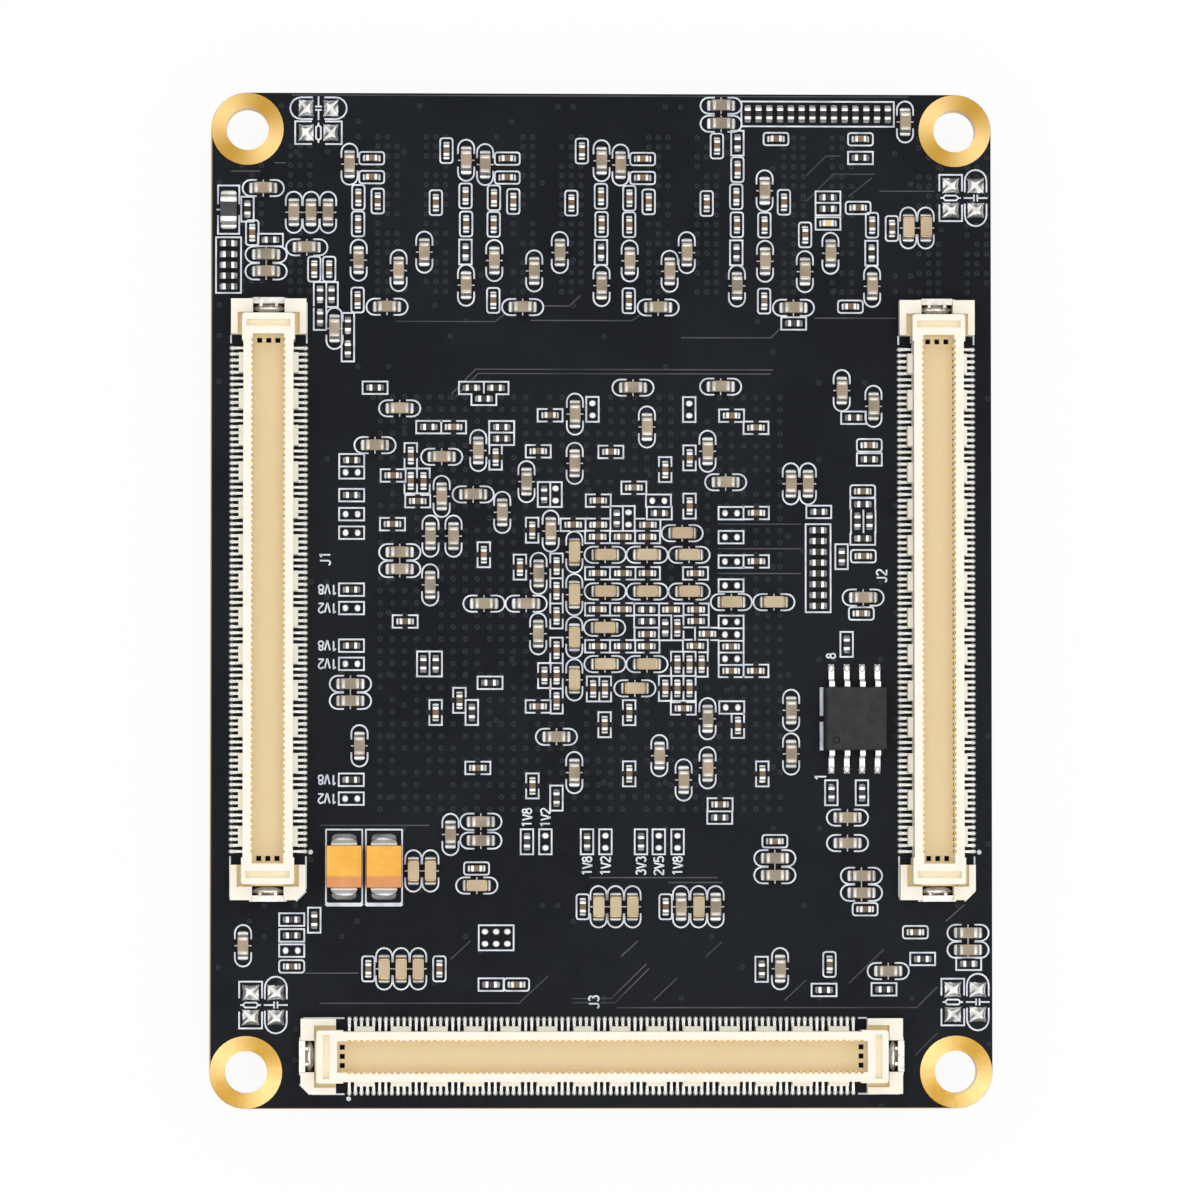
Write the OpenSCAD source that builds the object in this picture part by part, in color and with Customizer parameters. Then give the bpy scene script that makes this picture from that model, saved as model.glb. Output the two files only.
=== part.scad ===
// System on module: a rectangular circuit board with three mezzanine connectors on one side and the
// processor, memory and power modules on the other. The connector side faces up, +Y runs along the
// longer edge, and z = 0 is the face of the processor lid on which the module rests. Millimetres.

/* [Board] */
// Width of the board, along X
board_width = 64.5; // [62.2:0.1:72]
// Length of the board, along Y
board_length = 83.8; // [82.2:0.1:92]
// Thickness of the board
board_thickness = 2.0; // [1.2:0.1:3]
// Radius of the board's corners
corner_radius = 3.0; // [1:0.1:3]

/* [Mounting holes] */
// Diameter of each plated hole
hole_diameter = 3.5; // [2.4:0.1:4.2]
// Distance of a hole's centre from the two nearest edges
hole_inset = 3.0; // [3:0.05:3.3]
// Diameter of the gold ring round each hole
ring_diameter = 5.96; // [5:0.02:5.98]
// Thickness of the plating
plating_thickness = 0.05; // [0.03:0.01:0.12]

/* [Connector places] */
// Centre line of the left connector from the left edge
left_setback = 4.79; // [4.2:0.01:5]
// Centre line of the right connector from the right edge
right_setback = 4.57; // [4.2:0.01:5]
// Centre line of the lower connector from the lower edge
lower_setback = 4.33; // [4:0.01:4.6]

/* [Connector housing] */
// Contacts in each of the two rows
contacts_per_row = 84; // [24:6:84]
// Distance from contact to contact
contact_pitch = 0.5; // [0.42:0.01:0.5]
// Housing beyond the last contact at each end
housing_end_length = 4; // [3.9:0.05:4.3]
// Width of the end flanges
flange_width = 6.2; // [5.6:0.05:6.4]
// Length of each end flange
flange_length = 2.9; // [2.6:0.05:3.1]
// Height of the end flanges above the board
flange_height = 1.5; // [1.3:0.05:2]
// Corner cut that marks the first contact
flange_chamfer = 0.75; // [0.3:0.05:1]
// Height of the raised box above the board
box_height = 3.2; // [2.6:0.05:4.5]
// Width of the raised box at its two ends
box_end_width = 4.33; // [4.2:0.01:4.5]
// Corner radius of the raised box
box_radius = 0.25; // [0.1:0.05:0.4]
// Raised box end from the flange's outer face
box_setback = 1.3; // [1.1:0.02:1.4]
// Width over the two side walls along the contacts
wall_width = 4.1; // [3.9:0.02:4.18]
// Width of the slot for the mating half
slot_width = 2.56; // [2.3:0.02:2.7]
// End of the slot from the flange's outer face
slot_setback = 3; // [2.6:0.05:3.2]
// Height of the slot's floor above the board
slot_floor = 1.1; // [0.7:0.05:1.6]
// Width of the trough round each end of the raised box
moat_width = 0.38; // [0.2:0.02:0.4]
// Height of the trough's floor
moat_floor = 0.8; // [0.4:0.05:1.1]
// Width over the low side blocks
block_width = 4.9; // [4.6:0.05:5.2]
// Length of each side block
block_length = 1.65; // [1:0.05:1.9]
// Height of the side blocks
block_height = 1.4; // [0.9:0.05:1.8]
// Contacts from one side block to the next
contacts_per_block = 6; // [6:1:8]
// Side of the square holes in the slot's floor
floor_hole = 0.42; // [0.2:0.02:0.5]
// Spacing of the square holes
floor_hole_pitch = 0.75; // [0.65:0.01:0.8]
// Length of the shallow groove across each end of the box
end_groove_length = 3.6; // [2:0.1:3.8]
// Width of that groove
end_groove_width = 0.55; // [0.2:0.05:0.6]
// Depth of that groove
end_groove_depth = 0.5; // [0.1:0.05:0.8]

/* [Connector metal] */
// Width of a contact along the row
contact_width = 0.2; // [0.12:0.01:0.24]
// Thickness of the contact strip
contact_thickness = 0.18; // [0.1:0.01:0.2]
// Reach of the soldered tails from the connector's centre line
tail_reach = 3.2; // [2.8:0.05:3.3]
// Depth of the groove that holds a contact
contact_groove_depth = 0.34; // [0.3:0.01:0.45]
// Depth of the notch in the wall's top above each contact tip
tip_notch = 0.1; // [0.06:0.01:0.14]
// Clearance round a contact in its groove
contact_clearance = 0.03; // [0.02:0.005:0.04]
// Drop of the contact tips below the top of the box
tip_drop = 0.3; // [0.1:0.05:0.8]
// Lean of the contact tips into the slot
tip_lean = 0.22; // [0.1:0.01:0.3]
// Gap between the tails and the housing above them
tail_clearance = 0.1; // [0.05:0.01:0.2]
// Width of the pocket for a hold-down
pocket_width = 2.6; // [1.8:0.05:3]
// Length of that pocket
pocket_length = 0.9; // [0.6:0.01:1]
// Thickness of the end wall that a hold-down clips over
end_wall = 0.26; // [0.2:0.02:0.45]
// Thickness of the hold-down strip
clip_thickness = 0.12; // [0.1:0.01:0.22]
// Width of the soldered foot of a hold-down
clip_foot_width = 3.1; // [2.6:0.05:3.6]

/* [Chip parts] */
// Length of a 0603 capacitor
length_0603 = 1.6; // [1.5:0.01:1.7]
// Width of a 0603 capacitor
width_0603 = 0.9; // [0.75:0.01:0.95]
// Height of a 0603 capacitor
height_0603 = 0.8; // [0.5:0.01:0.95]
// Length of a bulk capacitor
length_bulk = 1.76; // [1.6:0.01:1.85]
// Width of a bulk capacitor
width_bulk = 0.94; // [0.8:0.01:1]
// Height of a bulk capacitor
height_bulk = 0.95; // [0.7:0.01:1.1]
// Length of a 0402 chip
length_0402 = 1.0; // [0.9:0.01:1.05]
// Width of a 0402 chip
width_0402 = 0.52; // [0.45:0.01:0.56]
// Height of a 0402 capacitor
height_0402 = 0.5; // [0.3:0.01:0.6]
// Height of a 0402 resistor
height_resistor = 0.36; // [0.25:0.01:0.45]
// Length of the 0805 bead
length_0805 = 2.0; // [1.8:0.01:2.1]
// Width of the 0805 bead
width_0805 = 1.36; // [1.1:0.01:1.4]
// Height of the 0805 bead
height_0805 = 0.9; // [0.5:0.01:1.2]
// Metal end of a 0603 chip
band_0603 = 0.36; // [0.2:0.02:0.6]
// Metal end of a bulk capacitor
band_bulk = 0.16; // [0.1:0.02:0.4]
// Metal end of a 0402 chip
band_0402 = 0.26; // [0.1:0.02:0.35]
// Metal end of the 0805 bead
band_0805 = 0.4; // [0.2:0.02:0.7]
// Solder beyond each end of a 0603 chip
toe_0603 = 0.38; // [0.1:0.02:0.45]
// Solder beyond each end of a bulk capacitor
toe_bulk = 0.3; // [0.1:0.02:0.4]
// Solder beyond each end of a 0402 chip
toe_0402 = 0.24; // [0.1:0.02:0.26]
// Solder beyond each end of the bead
toe_0805 = 0.6; // [0.1:0.02:0.7]
// Step from the metal ends down to the body between them
band_step = 0.015; // [0.005:0.005:0.04]
// Height of the body above the board
body_lift = 0.04; // [0.02:0.01:0.1]

/* [Tantalum capacitors] */
// Length of the moulded body
tantalum_length = 3.5; // [3:0.05:3.8]
// Width of the moulded body
tantalum_width = 2.95; // [2.4:0.05:3]
// Height of the moulded body
tantalum_height = 1.9; // [1.4:0.05:2.2]
// Draft of the moulded sides
tantalum_draft = 0.06; // [0.02:0.01:0.2]
// Width of the metal ends
tantalum_end_width = 2.15; // [1.8:0.05:2.3]
// Reach of the solder beyond the body
tantalum_toe = 0.95; // [0.5:0.05:1.1]

/* [Flash chip] */
// Length of the moulded body along its lead rows
flash_length = 5.25; // [5:0.05:5.6]
// Width of the moulded body between its lead rows
flash_width = 5.28; // [5:0.02:5.5]
// Height of the chip above the board
flash_height = 1.95; // [1.5:0.05:2.2]
// Gap below the moulded body
flash_lift = 0.1; // [0.05:0.01:0.2]
// Draft of the moulded sides
flash_draft = 0.12; // [0.02:0.01:0.2]
// Distance from lead to lead
lead_pitch = 1.27; // [1:0.01:1.4]
// Width of a lead
lead_width = 0.44; // [0.3:0.01:0.5]
// Thickness of a lead
lead_thickness = 0.2; // [0.12:0.01:0.24]
// Span over the toes of the leads
lead_span = 7.9; // [7.7:0.05:8.1]
// Solder beyond each toe
lead_solder = 0.55; // [0.2:0.05:0.6]
// Diameter of the mark in the corner of the first lead
dimple_diameter = 0.6; // [0.3:0.05:1]

/* [Bare pads] */
// Length of a bare 0402 pad along its part
pad_0402_length = 0.55; // [0.4:0.01:0.6]
// Width of a bare 0402 pad
pad_0402_width = 0.62; // [0.4:0.01:0.64]
// Distance between the two pads of a bare 0402 place
pad_0402_spacing = 1.0; // [0.9:0.01:1.1]
// Length of a bare 0805 pad along its part
pad_0805_length = 1.28; // [1:0.01:1.3]
// Width of a bare 0805 pad
pad_0805_width = 1.4; // [1:0.01:1.45]
// Distance between the two pads of a bare 0805 place
pad_0805_spacing = 2.04; // [1.9:0.01:2.2]
// Rise of the solder on a 0402 pad
solder_rise_0402 = 0.12; // [0.05:0.01:0.2]
// Rise of the solder on a 0805 pad
solder_rise_0805 = 0.16; // [0.05:0.01:0.3]

/* [Processor] */
// Side of the square substrate
processor_side = 35; // [34:0.5:37]
// Thickness of the substrate
substrate_thickness = 1.2; // [0.8:0.05:1.6]
// Side of the lid's brim
lid_side = 32; // [31:0.1:33.4]
// Thickness of the lid's brim
lid_brim_thickness = 0.7; // [0.4:0.05:1]
// Side of the lid's raised face
lid_face_side = 27; // [20:0.5:30]
// Rise of that face above the brim
lid_face_rise = 0.95; // [0.8:0.05:1.2]
// Corner radius of the lid
lid_radius = 1.2; // [0.5:0.1:3]
// Height of the processor's solder balls
processor_ball_height = 0.45; // [0.4:0.01:0.48]
// Diameter of the processor's solder balls
processor_ball_diameter = 0.6; // [0.5:0.01:0.7]
// Distance between the processor's solder balls
processor_ball_pitch = 1.0; // [0.8:0.05:1]
// Balls along each edge of the processor
processor_balls_per_edge = 34; // [20:1:34]

/* [Memory] */
// Width of a memory chip
memory_width = 7.5; // [7:0.1:9]
// Length of a memory chip
memory_length = 13.3; // [12.5:0.1:14]
// Thickness of a memory chip's body
memory_thickness = 0.8; // [0.5:0.05:1]
// Distance between the memory chips
memory_pitch = 11.2; // [11.1:0.05:11.3]
// Height of the memory's solder balls
memory_ball_height = 0.35; // [0.3:0.01:0.4]
// Diameter of the memory's solder balls
memory_ball_diameter = 0.46; // [0.42:0.01:0.5]
// Distance between the memory's solder balls
memory_ball_pitch = 0.8; // [0.65:0.05:0.8]
// Columns of solder balls across a memory chip
memory_ball_columns = 9; // [7:1:9]
// Rows of solder balls along a memory chip
memory_ball_rows = 16; // [12:1:16]

/* [Power modules and clock] */
// Length of a power module
power_length = 8; // [6:0.1:9]
// Width of a power module
power_width = 6.5; // [5:0.1:8]
// Height of a power module below the board
power_height = 2.7; // [2:0.05:2.9]
// Distance between the power modules
power_pitch = 11.4; // [10:0.1:12]
// Bevel round the face of a power module
power_bevel = 0.25; // [0.1:0.05:0.5]
// Length of the clock oscillator
clock_length = 3.2; // [2.4:0.1:4]
// Width of the clock oscillator
clock_width = 2.5; // [2:0.1:3.2]
// Height of its ceramic base
clock_base_height = 0.6; // [0.4:0.05:0.8]
// Height of its metal lid
clock_lid_height = 0.3; // [0.1:0.05:0.5]
// Rim of the base round the lid
clock_rim = 0.15; // [0.1:0.05:0.3]
// Thickness of the soldered lands under both
land_thickness = 0.1; // [0.05:0.01:0.15]

/* [Hidden] */

$fn = 48;

// Small overlap that lets a cut pass through a face
cut = 0.5;

// Heights of the board's two faces above the rest plane
board_bottom = lid_face_rise + lid_brim_thickness + substrate_thickness + processor_ball_height;
board_top = board_bottom + board_thickness;

// Lengths and half widths of a connector
row_length = (contacts_per_row - 1) * contact_pitch;
housing_length = row_length + 2 * housing_end_length;
housing_end = housing_length / 2;
box_end = housing_end - box_setback;
slot_end = housing_end - slot_setback;
standoff = contact_thickness + tail_clearance;
groove_back = slot_width / 2 + contact_groove_depth;
contact_back = groove_back - contact_clearance;
contact_front = contact_back - contact_thickness;
contact_tip = box_height - tip_drop;
wall_relief_length = row_length + 1;
block_pitch = contacts_per_block * contact_pitch;
block_count = floor(contacts_per_row / contacts_per_block);
clip_leg_end = 0.3;
clip_seat = flange_height - 0.3;

// Length, width and height of each kind of chip
chip_0603 = [length_0603, width_0603, height_0603];
bulk_0603 = [length_bulk, width_bulk, height_bulk];
chip_0402 = [length_0402, width_0402, height_0402];
resistor_0402 = [length_0402, width_0402, height_resistor];
bead_0805 = [length_0805, width_0805, height_0805];

// Widest level of the two moulded parts, where the leads leave the body
flash_parting = flash_lift + (flash_height - flash_lift) / 2;
tantalum_parting = tantalum_height / 2;

// Centres of the parts on the hidden side
processor_place = [2.25, 0.25];
memory_places = [for (k = [-1.5 : 1.5]) [1.1 + k * memory_pitch, 31.5]];
power_places = [for (k = [-1.5 : 1.5]) [0.7 + k * power_pitch, -27]];
clock_place = [-21.6, 9];

// Places of the parts on the connector side, chosen by hand: [x, y] from the board's centre, in lists
// by kind, with the part lying along X or along Y. The memory capacitors repeat with the memory pitch.
// They are drawn for a board of this width and length, and spread or close up with the board.
drawn_width = 64.5;
drawn_length = 83.8;

function spread(place) = [place[0] * board_width / drawn_width, place[1] * board_length / drawn_length];

function repeated(steps, places) =
    [for (step = steps, place = places) [step * memory_pitch + place[0], place[1]]];

capacitors_0603_along_y = concat(
    repeated([-1, 0, 1, 2], [[-5.57, 27.2], [0, 26]]),
    repeated([-2, -1, 0, 1], [[2.33, 28.05]]),
    repeated([-1, 0, 2], [[-3.45, 28.73]]),
    repeated([-2, -1, 0], [[1.57, 36]]),
    repeated([-1, 0], [[0, 36.35]]),
    [[7.05, 28.75], [13.5, 33.9], [-25.42, 32], [-24, 32], [-22.6, 32], [25.15, 39.65]],
    [[-22.05, 22.4], [-2.2, 15.35], [3.75, 14.3], [19.87, 17.35], [22.5, 16.05]],
    [[-13.2, 8.53], [-14.12, 5.25], [-12.22, 5.25], [-14.14, 1.22], [-10.18, 12.33]],
    [[-2.22, 11.28], [-6.2, 9.76], [-8.2, 7.22], [-4.2, 5.68], [-5.2, 2.18], [-5.23, -2.8]],
    [[8.76, 12.3], [15.65, 9.62], [17.06, 9.62], [-19.95, -12.05], [-2.25, -14.25]],
    [[8.75, -9.8], [8.75, -13.85], [4.77, -12.85], [6.77, -14.85], [15.65, -9.1], [15.65, -12.7]],
    [[-12.45, -19.35], [6.55, -25.3], [9.4, -25.3], [14.72, -30.4], [-29.5, -28.5]]);

capacitors_0603_along_x = concat(
    repeated([-2, -1, 0, 1], [[4.68, 24.2]]),
    [[-27.95, 34], [-24.35, 29.1], [-27.7, 28.5], [-27.7, 27.1], [9.9, 40.95], [9.9, 39.45]],
    [[-16.67, 15.8], [-18.7, 12.75], [2.6, 17.55], [9.85, 17.65], [-13.2, 11.8], [-10.6, 8.7]],
    [[-16.65, 3.92], [-16.65, 2.52], [10.26, 9.74], [-9.7, -0.32], [-6.22, -0.32], [21.62, 0.22]],
    [[-20.7, -6.95], [-20.7, -8.35], [-3.72, -11.3], [-9.95, -18.3], [-9.95, -19.85]],
    [[14.3, -21.3], [14.3, -22.7], [20.3, -17.95], [20.3, -20.05], [21.45, -22.75]],
    [[21.45, -24.15], [23.65, -30.6], [30.25, -27.45], [30.25, -28.85]]);

bulk_capacitors_along_y = [
    [-2.25, 3.95], [-2.25, 0.43], [-2.25, -3.1], [-2.25, -6.6], [25.4, 30.85], [26.85, 30.85],
    [-15.5, -22.35], [-14.1, -22.35], [-17.9, -30.4], [-16.5, -30.4], [-15.1, -30.4],
    [-0.25, -25.3], [1.15, -25.3], [2.55, -25.3], [8, -25.3]];

bulk_capacitors_along_x = [
    [0.3, 3.72], [0.3, 0.7], [3.76, 3.73], [7.23, 3.73], [3.76, 0.7], [7.23, 0.7], [6.66, 5.52],
    [10.72, -0.17], [14.24, -0.17], [0.25, -2.3], [0.28, -5.3], [3.75, -5.3], [2.75, -7.3],
    [-10.28, -23.55]];

memory_capacitors_along_y = concat(
    repeated([-1, 0, 1, 2], [[0, 31.07]]),
    repeated([-1, 0, 1], [[-0.05, 33.4], [-2.5, 32.83]]),
    repeated([-2, -1, 0, 1], [[3.9, 32.95], [2.28, 31.05], [2.25, 24.75]]),
    repeated([-2, -1, 0], [[2.3, 33.25]]),
    repeated([-1, 0], [[-1.63, 37.15]]),
    [[-28.85, 30.3], [-23.73, 27.3], [-22.5, 27.3], [9.55, 37.6], [24.05, 30.8], [16.85, 30.25]],
    [[11.25, 35.65], [-19.2, -30.4], [-13.35, -30.4], [-1.55, -25.3], [5.28, -25.3], [18.8, -30.05]]);

memory_capacitors_along_x = concat(
    repeated([-2, -1, 0], [[3.4, 36.5], [3.4, 34.93]]),
    [[14.45, 38.2], [21.45, 38.2], [21.25, 32.5], [20.6, 24.3], [22.15, 12.82], [21.6, 9]],
    [[21.64, 3.64], [21.47, -1.1], [-10.3, -22.15], [-7, -31.7], [14.3, -19.9], [21.75, -25.5]],
    [[25.9, -27.4], [-25.5, -30.2]]);

processor_capacitors_along_x = [
    [-12.22, 14.25], [-4.25, 15.25], [10.75, 15.25], [12.77, 14.25], [-17.2, 10.25], [-15.17, 8.13],
    [-17.25, 6.23], [-16.2, -1.8], [-5.23, 12.27], [0.77, 12.23], [-0.27, 8.2], [2.67, 9.27],
    [-2.35, 6.2], [-0.27, 6.2], [-0.33, 5.2], [1.74, 5.2], [-0.33, 2.2], [1.77, 2.2],
    [-0.33, -0.78], [1.75, -0.78], [3.83, 6.2], [3.8, 5.2], [12.8, 7.2], [12.8, 3.2],
    [3.79, 2.2], [7.76, 2.2], [5.74, -0.8], [7.82, -0.8], [7.82, -1.75], [-10.2, -13.87],
    [-5.23, -8.8], [-0.33, -3.83], [1.75, -3.83], [3.75, -2.83], [3.75, -3.83], [8.75, -2.8],
    [7.75, -3.8], [10.7, -3.85], [10.7, -5.85], [12.75, -5.85], [6.75, -8.95], [9.78, -16.87]];

processor_capacitors_along_y = [
    [-15.75, 11.9], [-15.75, 9.8], [-14.7, 9.8], [-8.75, 11.78], [-5.73, 5.75], [-9.72, 3.72],
    [-6.74, 2.7], [-3.72, 2.8], [-3.72, 0.75], [-3.72, -1.33], [5.26, 10.78], [7.27, 11.75],
    [7.27, 7.76], [-13.68, -9.3], [-11.72, -8.3], [-3.72, -4.15], [-3.72, -6.25], [-3.72, -8.35],
    [-4.72, -6.25], [-0.7, -7.35], [0.27, -7.35], [2.28, -9.3], [0.25, -10.3], [-5.7, -15.35],
    [2.28, -14.35], [6.25, -2.3], [6.25, -5.3], [7.25, -5.3], [8.25, -5.3], [5.25, -7.3],
    [6.25, -7.3], [7.25, -7.3], [11.25, -10.35], [13.27, -14.35]];

resistors_along_y = concat(
    repeated([-1, 0, 1, 2], [[-0.05, 28.75]]),
    [[11.25, 37.85], [-29.25, 32.25], [-23.25, 23.3], [-20.95, 22.65], [-20.95, 20.7], [-4.75, 8.7]],
    [[1.25, 6.72], [19.84, 3.6], [21.14, 6.53], [22.14, 6.53], [-14.7, -5.3], [-13.68, -5.3]],
    [[-10.7, -9.3], [-3.72, -16.35], [5.25, -2.3], [20.25, -3.65], [18.97, -15.9], [21.5, -15.9]],
    [[-6.15, -19.95], [-1.2, -19.95], [3.25, -19.95], [13.2, -30.45], [-23.65, -26.4]]);

resistors_along_x = concat(
    [for (y = [11.5, 8.62, 0.82, -3.8, -14.85]) [-20.62, y]],
    [[-27.35, 29.7], [21.45, 36.65], [18.75, 33.35], [18.75, 32.4], [-18.7, 17.5], [-14.27, 14.25]],
    [[-8.25, 14.25], [-8.25, 13.3], [15.9, 22.9], [20.85, 15.1], [22.15, 11.65], [4.77, 7.17]],
    [[3.72, -0.8], [3.72, -1.77], [17.96, 7.3], [21.6, 7.93], [21.6, 5.1], [-9.2, -6.85]],
    [[-9.1, -31.7], [9.75, -17.95], [18.35, -32.15], [23.3, -32.1], [26.5, -29.6], [30.3, -30]],
    [[-25.5, -26.35], [-25.5, -27.65]]);

// Rows of resistors set side by side
row_step = 0.893;
resistor_rows_along_y = concat(
    [for (k = [0 : 13]) [12.1 + k * row_step, 40.28]],
    [[-23.25, 25.2], [-22.3, 25.2]]);
resistor_rows_along_x = concat(
    [for (k = [0 : 4]) [-30.8, 29.4 - k * row_step]],
    [for (k = [0 : 7]) [17.9, 5.77 - k * row_step]],
    [[-10.75, 17.5], [-8.72, 17.5], [-9.72, 16.6]]);

chip_inductor_place = [18.75, 31.2];
ferrite_bead_place = [-30.8, 32.2];
tantalum_places = [[-21.2, -22], [-17.92, -22]];
flash_place = [20.88, -9.8];

bare_0402_along_y = concat(
    [[-0.75, 15.75], [7.25, 15.75], [-3.8, 8.7], [2.22, 6.73]],
    [for (x = [-4.63, 0.32, 4.72, 6.27]) [x, -19.95]],
    [for (x = [-9.6, -8.68, -7.76]) [x, -27.85]]);
bare_0402_along_x = concat(
    [for (y = [7.18, 5.2, 3.18, 1.2, -1.8, -2.85, -4.85]) [10.7, y]],
    [for (y = [10.5, 7.05, 5.52, -0.7, -5.3, -16.4]) [-20.62, y]],
    [[4.7, 8.2], [10.75, -8.87], [-25.5, -28.9]]);

// The bare 0805 pads keep their distance from the hole of their own corner: [side, end, x and y from it]
bare_0805_along_y = [for (pad = [[1, 1, -0.32, -5.55], [1, 1, 1.75, -5.55], [-1, -1, 0.38, 5.53],
        [-1, -1, 2.45, 5.53], [1, -1, -0.27, 5.75], [1, -1, 1.8, 5.75]])
    hole_place(pad[0], pad[1]) + [pad[2], pad[3]]];
bare_0805_along_x = [for (y = [1.73, -0.3]) hole_place(-1, 1) + [5.85, y]];

// A rectangle about the origin with round corners
module rounded_rectangle(size, radius) {
    square([size[0] - 2 * radius, size[1]], center = true);
    square([size[0], size[1] - 2 * radius], center = true);
    for (x = [-1, 1], y = [-1, 1])
        translate([x * (size[0] / 2 - radius), y * (size[1] / 2 - radius)]) circle(radius);
}

// A profile drawn across X with its height as Y, run along Y about the origin
module run_along_y(length) {
    translate([0, length / 2, 0]) rotate([90, 0, 0]) linear_extrude(length) children();
}

// A block about the origin in X and Y that stands on its own zero level
module standing_block(size) {
    translate([-size[0] / 2, -size[1] / 2, 0]) cube(size);
}

// Copies on the connector side: parts along X, then parts along Y
module on_top(places_along_x, places_along_y) {
    for (place = places_along_x) translate([place[0], place[1], board_top]) children();
    for (place = places_along_y) translate([place[0], place[1], board_top]) rotate(90) children();
}

// The same for parts whose places spread with the board
module spread_on_top(places_along_x, places_along_y) {
    on_top([for (place = places_along_x) spread(place)], [for (place = places_along_y) spread(place)])
        children();
}

// The board

function hole_place(side, end) =
    [side * (board_width / 2 - hole_inset), end * (board_length / 2 - hole_inset)];

hole_places = [for (side = [-1, 1], end = [-1, 1]) hole_place(side, end)];

module board() {
    color([0.13, 0.135, 0.15])
    translate([0, 0, board_bottom])
    difference() {
        linear_extrude(board_thickness) rounded_rectangle([board_width, board_length], corner_radius);
        for (place = hole_places)
            translate([place[0], place[1], -cut])
                cylinder(d = hole_diameter + 2 * plating_thickness, h = board_thickness + 2 * cut);
    }
}

// Ring on both faces and the barrel between them, turned as one piece
module mounting_hole_plating() {
    bore = hole_diameter / 2;
    barrel = bore + plating_thickness;
    ring = ring_diameter / 2;
    low = -plating_thickness;
    high = board_thickness + plating_thickness;
    color([0.88, 0.72, 0.36])
    for (place = hole_places)
        translate([place[0], place[1], board_bottom])
            rotate_extrude()
                polygon([[bore, low], [ring, low], [ring, 0], [barrel, 0], [barrel, board_thickness],
                    [ring, board_thickness], [ring, high], [bore, high]]);
}

// The connectors, drawn along Y about their own centre with the board's face at zero

module at_left() {
    translate([left_setback - board_width / 2, 0, board_top]) children();
}

module at_right() {
    translate([board_width / 2 - right_setback, 0, board_top]) children();
}

module at_lower() {
    translate([0, lower_setback - board_length / 2, board_top]) rotate(-90) children();
}

// Both ends of a connector, the second turned half round
module both_ends() {
    children();
    rotate(180) children();
}

// Low end block with a trough that leaves the raised box free
module end_flange() {
    trough_end = box_end + moat_width / 2;
    trough_width = box_end_width + 2 * moat_width;
    difference() {
        translate([-flange_width / 2, housing_end - flange_length, 0])
            cube([flange_width, flange_length, flange_height]);
        translate([-trough_width / 2, housing_end - flange_length - cut, moat_floor])
            cube([trough_width, trough_end - housing_end + flange_length + cut, flange_height]);
    }
}

// Open pocket and end-wall seat for the hold-down
module hold_down_room() {
    pocket_start = housing_end - end_wall - pocket_length;
    translate([-pocket_width / 2, pocket_start, -cut])
        cube([pocket_width, pocket_length, flange_height + 2 * cut]);
    translate([-pocket_width / 2, housing_end - end_wall - cut / 10, clip_seat])
        cube([pocket_width, end_wall + cut, flange_height]);
}

// Groove that a contact is pressed into from below, with a roof over its back and a notch for its tip
module contact_groove(low) {
    wall = slot_width / 2;
    roof = contact_tip + contact_clearance;
    run_along_y(contact_width + 2 * contact_clearance)
        polygon([[wall, low], [groove_back, low], [groove_back, roof], [wall + tip_notch, roof],
            [wall + tip_notch, box_height + cut], [wall, box_height + cut]]);
}

module connector_housing() {
    color([0.98, 0.95, 0.87])
    difference() {
        union() {
            both_ends() end_flange();
            translate([0, 0, standoff]) linear_extrude(box_height - standoff) difference() {
                rounded_rectangle([box_end_width, 2 * box_end], box_radius);
                for (side = [-1, 1])
                    translate([side * wall_width / 2 + (side - 1) / 2, -wall_relief_length / 2])
                        square([1, wall_relief_length]);
            }
            for (k = [0 : block_count - 1])
                translate([0, (k - (block_count - 1) / 2) * block_pitch, standoff])
                    standing_block([block_width, block_length, block_height - standoff]);
        }
        // Slot for the mating half
        translate([0, 0, slot_floor]) standing_block([slot_width, 2 * slot_end, box_height]);
        // Groove for every contact, and one spare groove at the far end of each row
        for (side = [0, 1], k = [0 : contacts_per_row])
            translate([0, (k - (contacts_per_row - 1) / 2) * contact_pitch, 0])
                mirror([side, 0, 0]) contact_groove(k < contacts_per_row ? -cut : slot_floor);
        both_ends() {
            hold_down_room();
            translate([0, box_end - box_radius - end_groove_width, box_height - end_groove_depth])
                standing_block([end_groove_length, end_groove_width, 2 * end_groove_depth]);
            for (k = [-1 : 1])
                translate([k * floor_hole_pitch, slot_end - floor_hole, -cut])
                    standing_block([floor_hole, floor_hole, slot_floor + 2 * cut]);
        }
        // Cut corner beside the first contact
        translate([flange_width / 2, -housing_end, -cut])
            rotate(45) standing_block([flange_chamfer * sqrt(2), flange_chamfer * sqrt(2),
                flange_height + 2 * cut]);
    }
}

// Tail on the board, riser in its groove and tip leaning into the slot, bent from one strip
module contact() {
    lean_start = contact_tip - 3 * tip_lean;
    run_along_y(contact_width)
        polygon([[contact_front, 0], [tail_reach, 0], [tail_reach - contact_thickness / 2, contact_thickness],
            [contact_back, contact_thickness], [contact_back, lean_start],
            [contact_back - tip_lean, contact_tip], [contact_front - tip_lean, contact_tip],
            [contact_front, lean_start]]);
}

module connector_contacts() {
    color([0.86, 0.78, 0.6])
    for (side = [0, 1], k = [0 : contacts_per_row - 1])
        translate([0, (k - (contacts_per_row - 1) / 2) * contact_pitch, 0])
            mirror([side, 0, 0]) contact();
}

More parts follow.
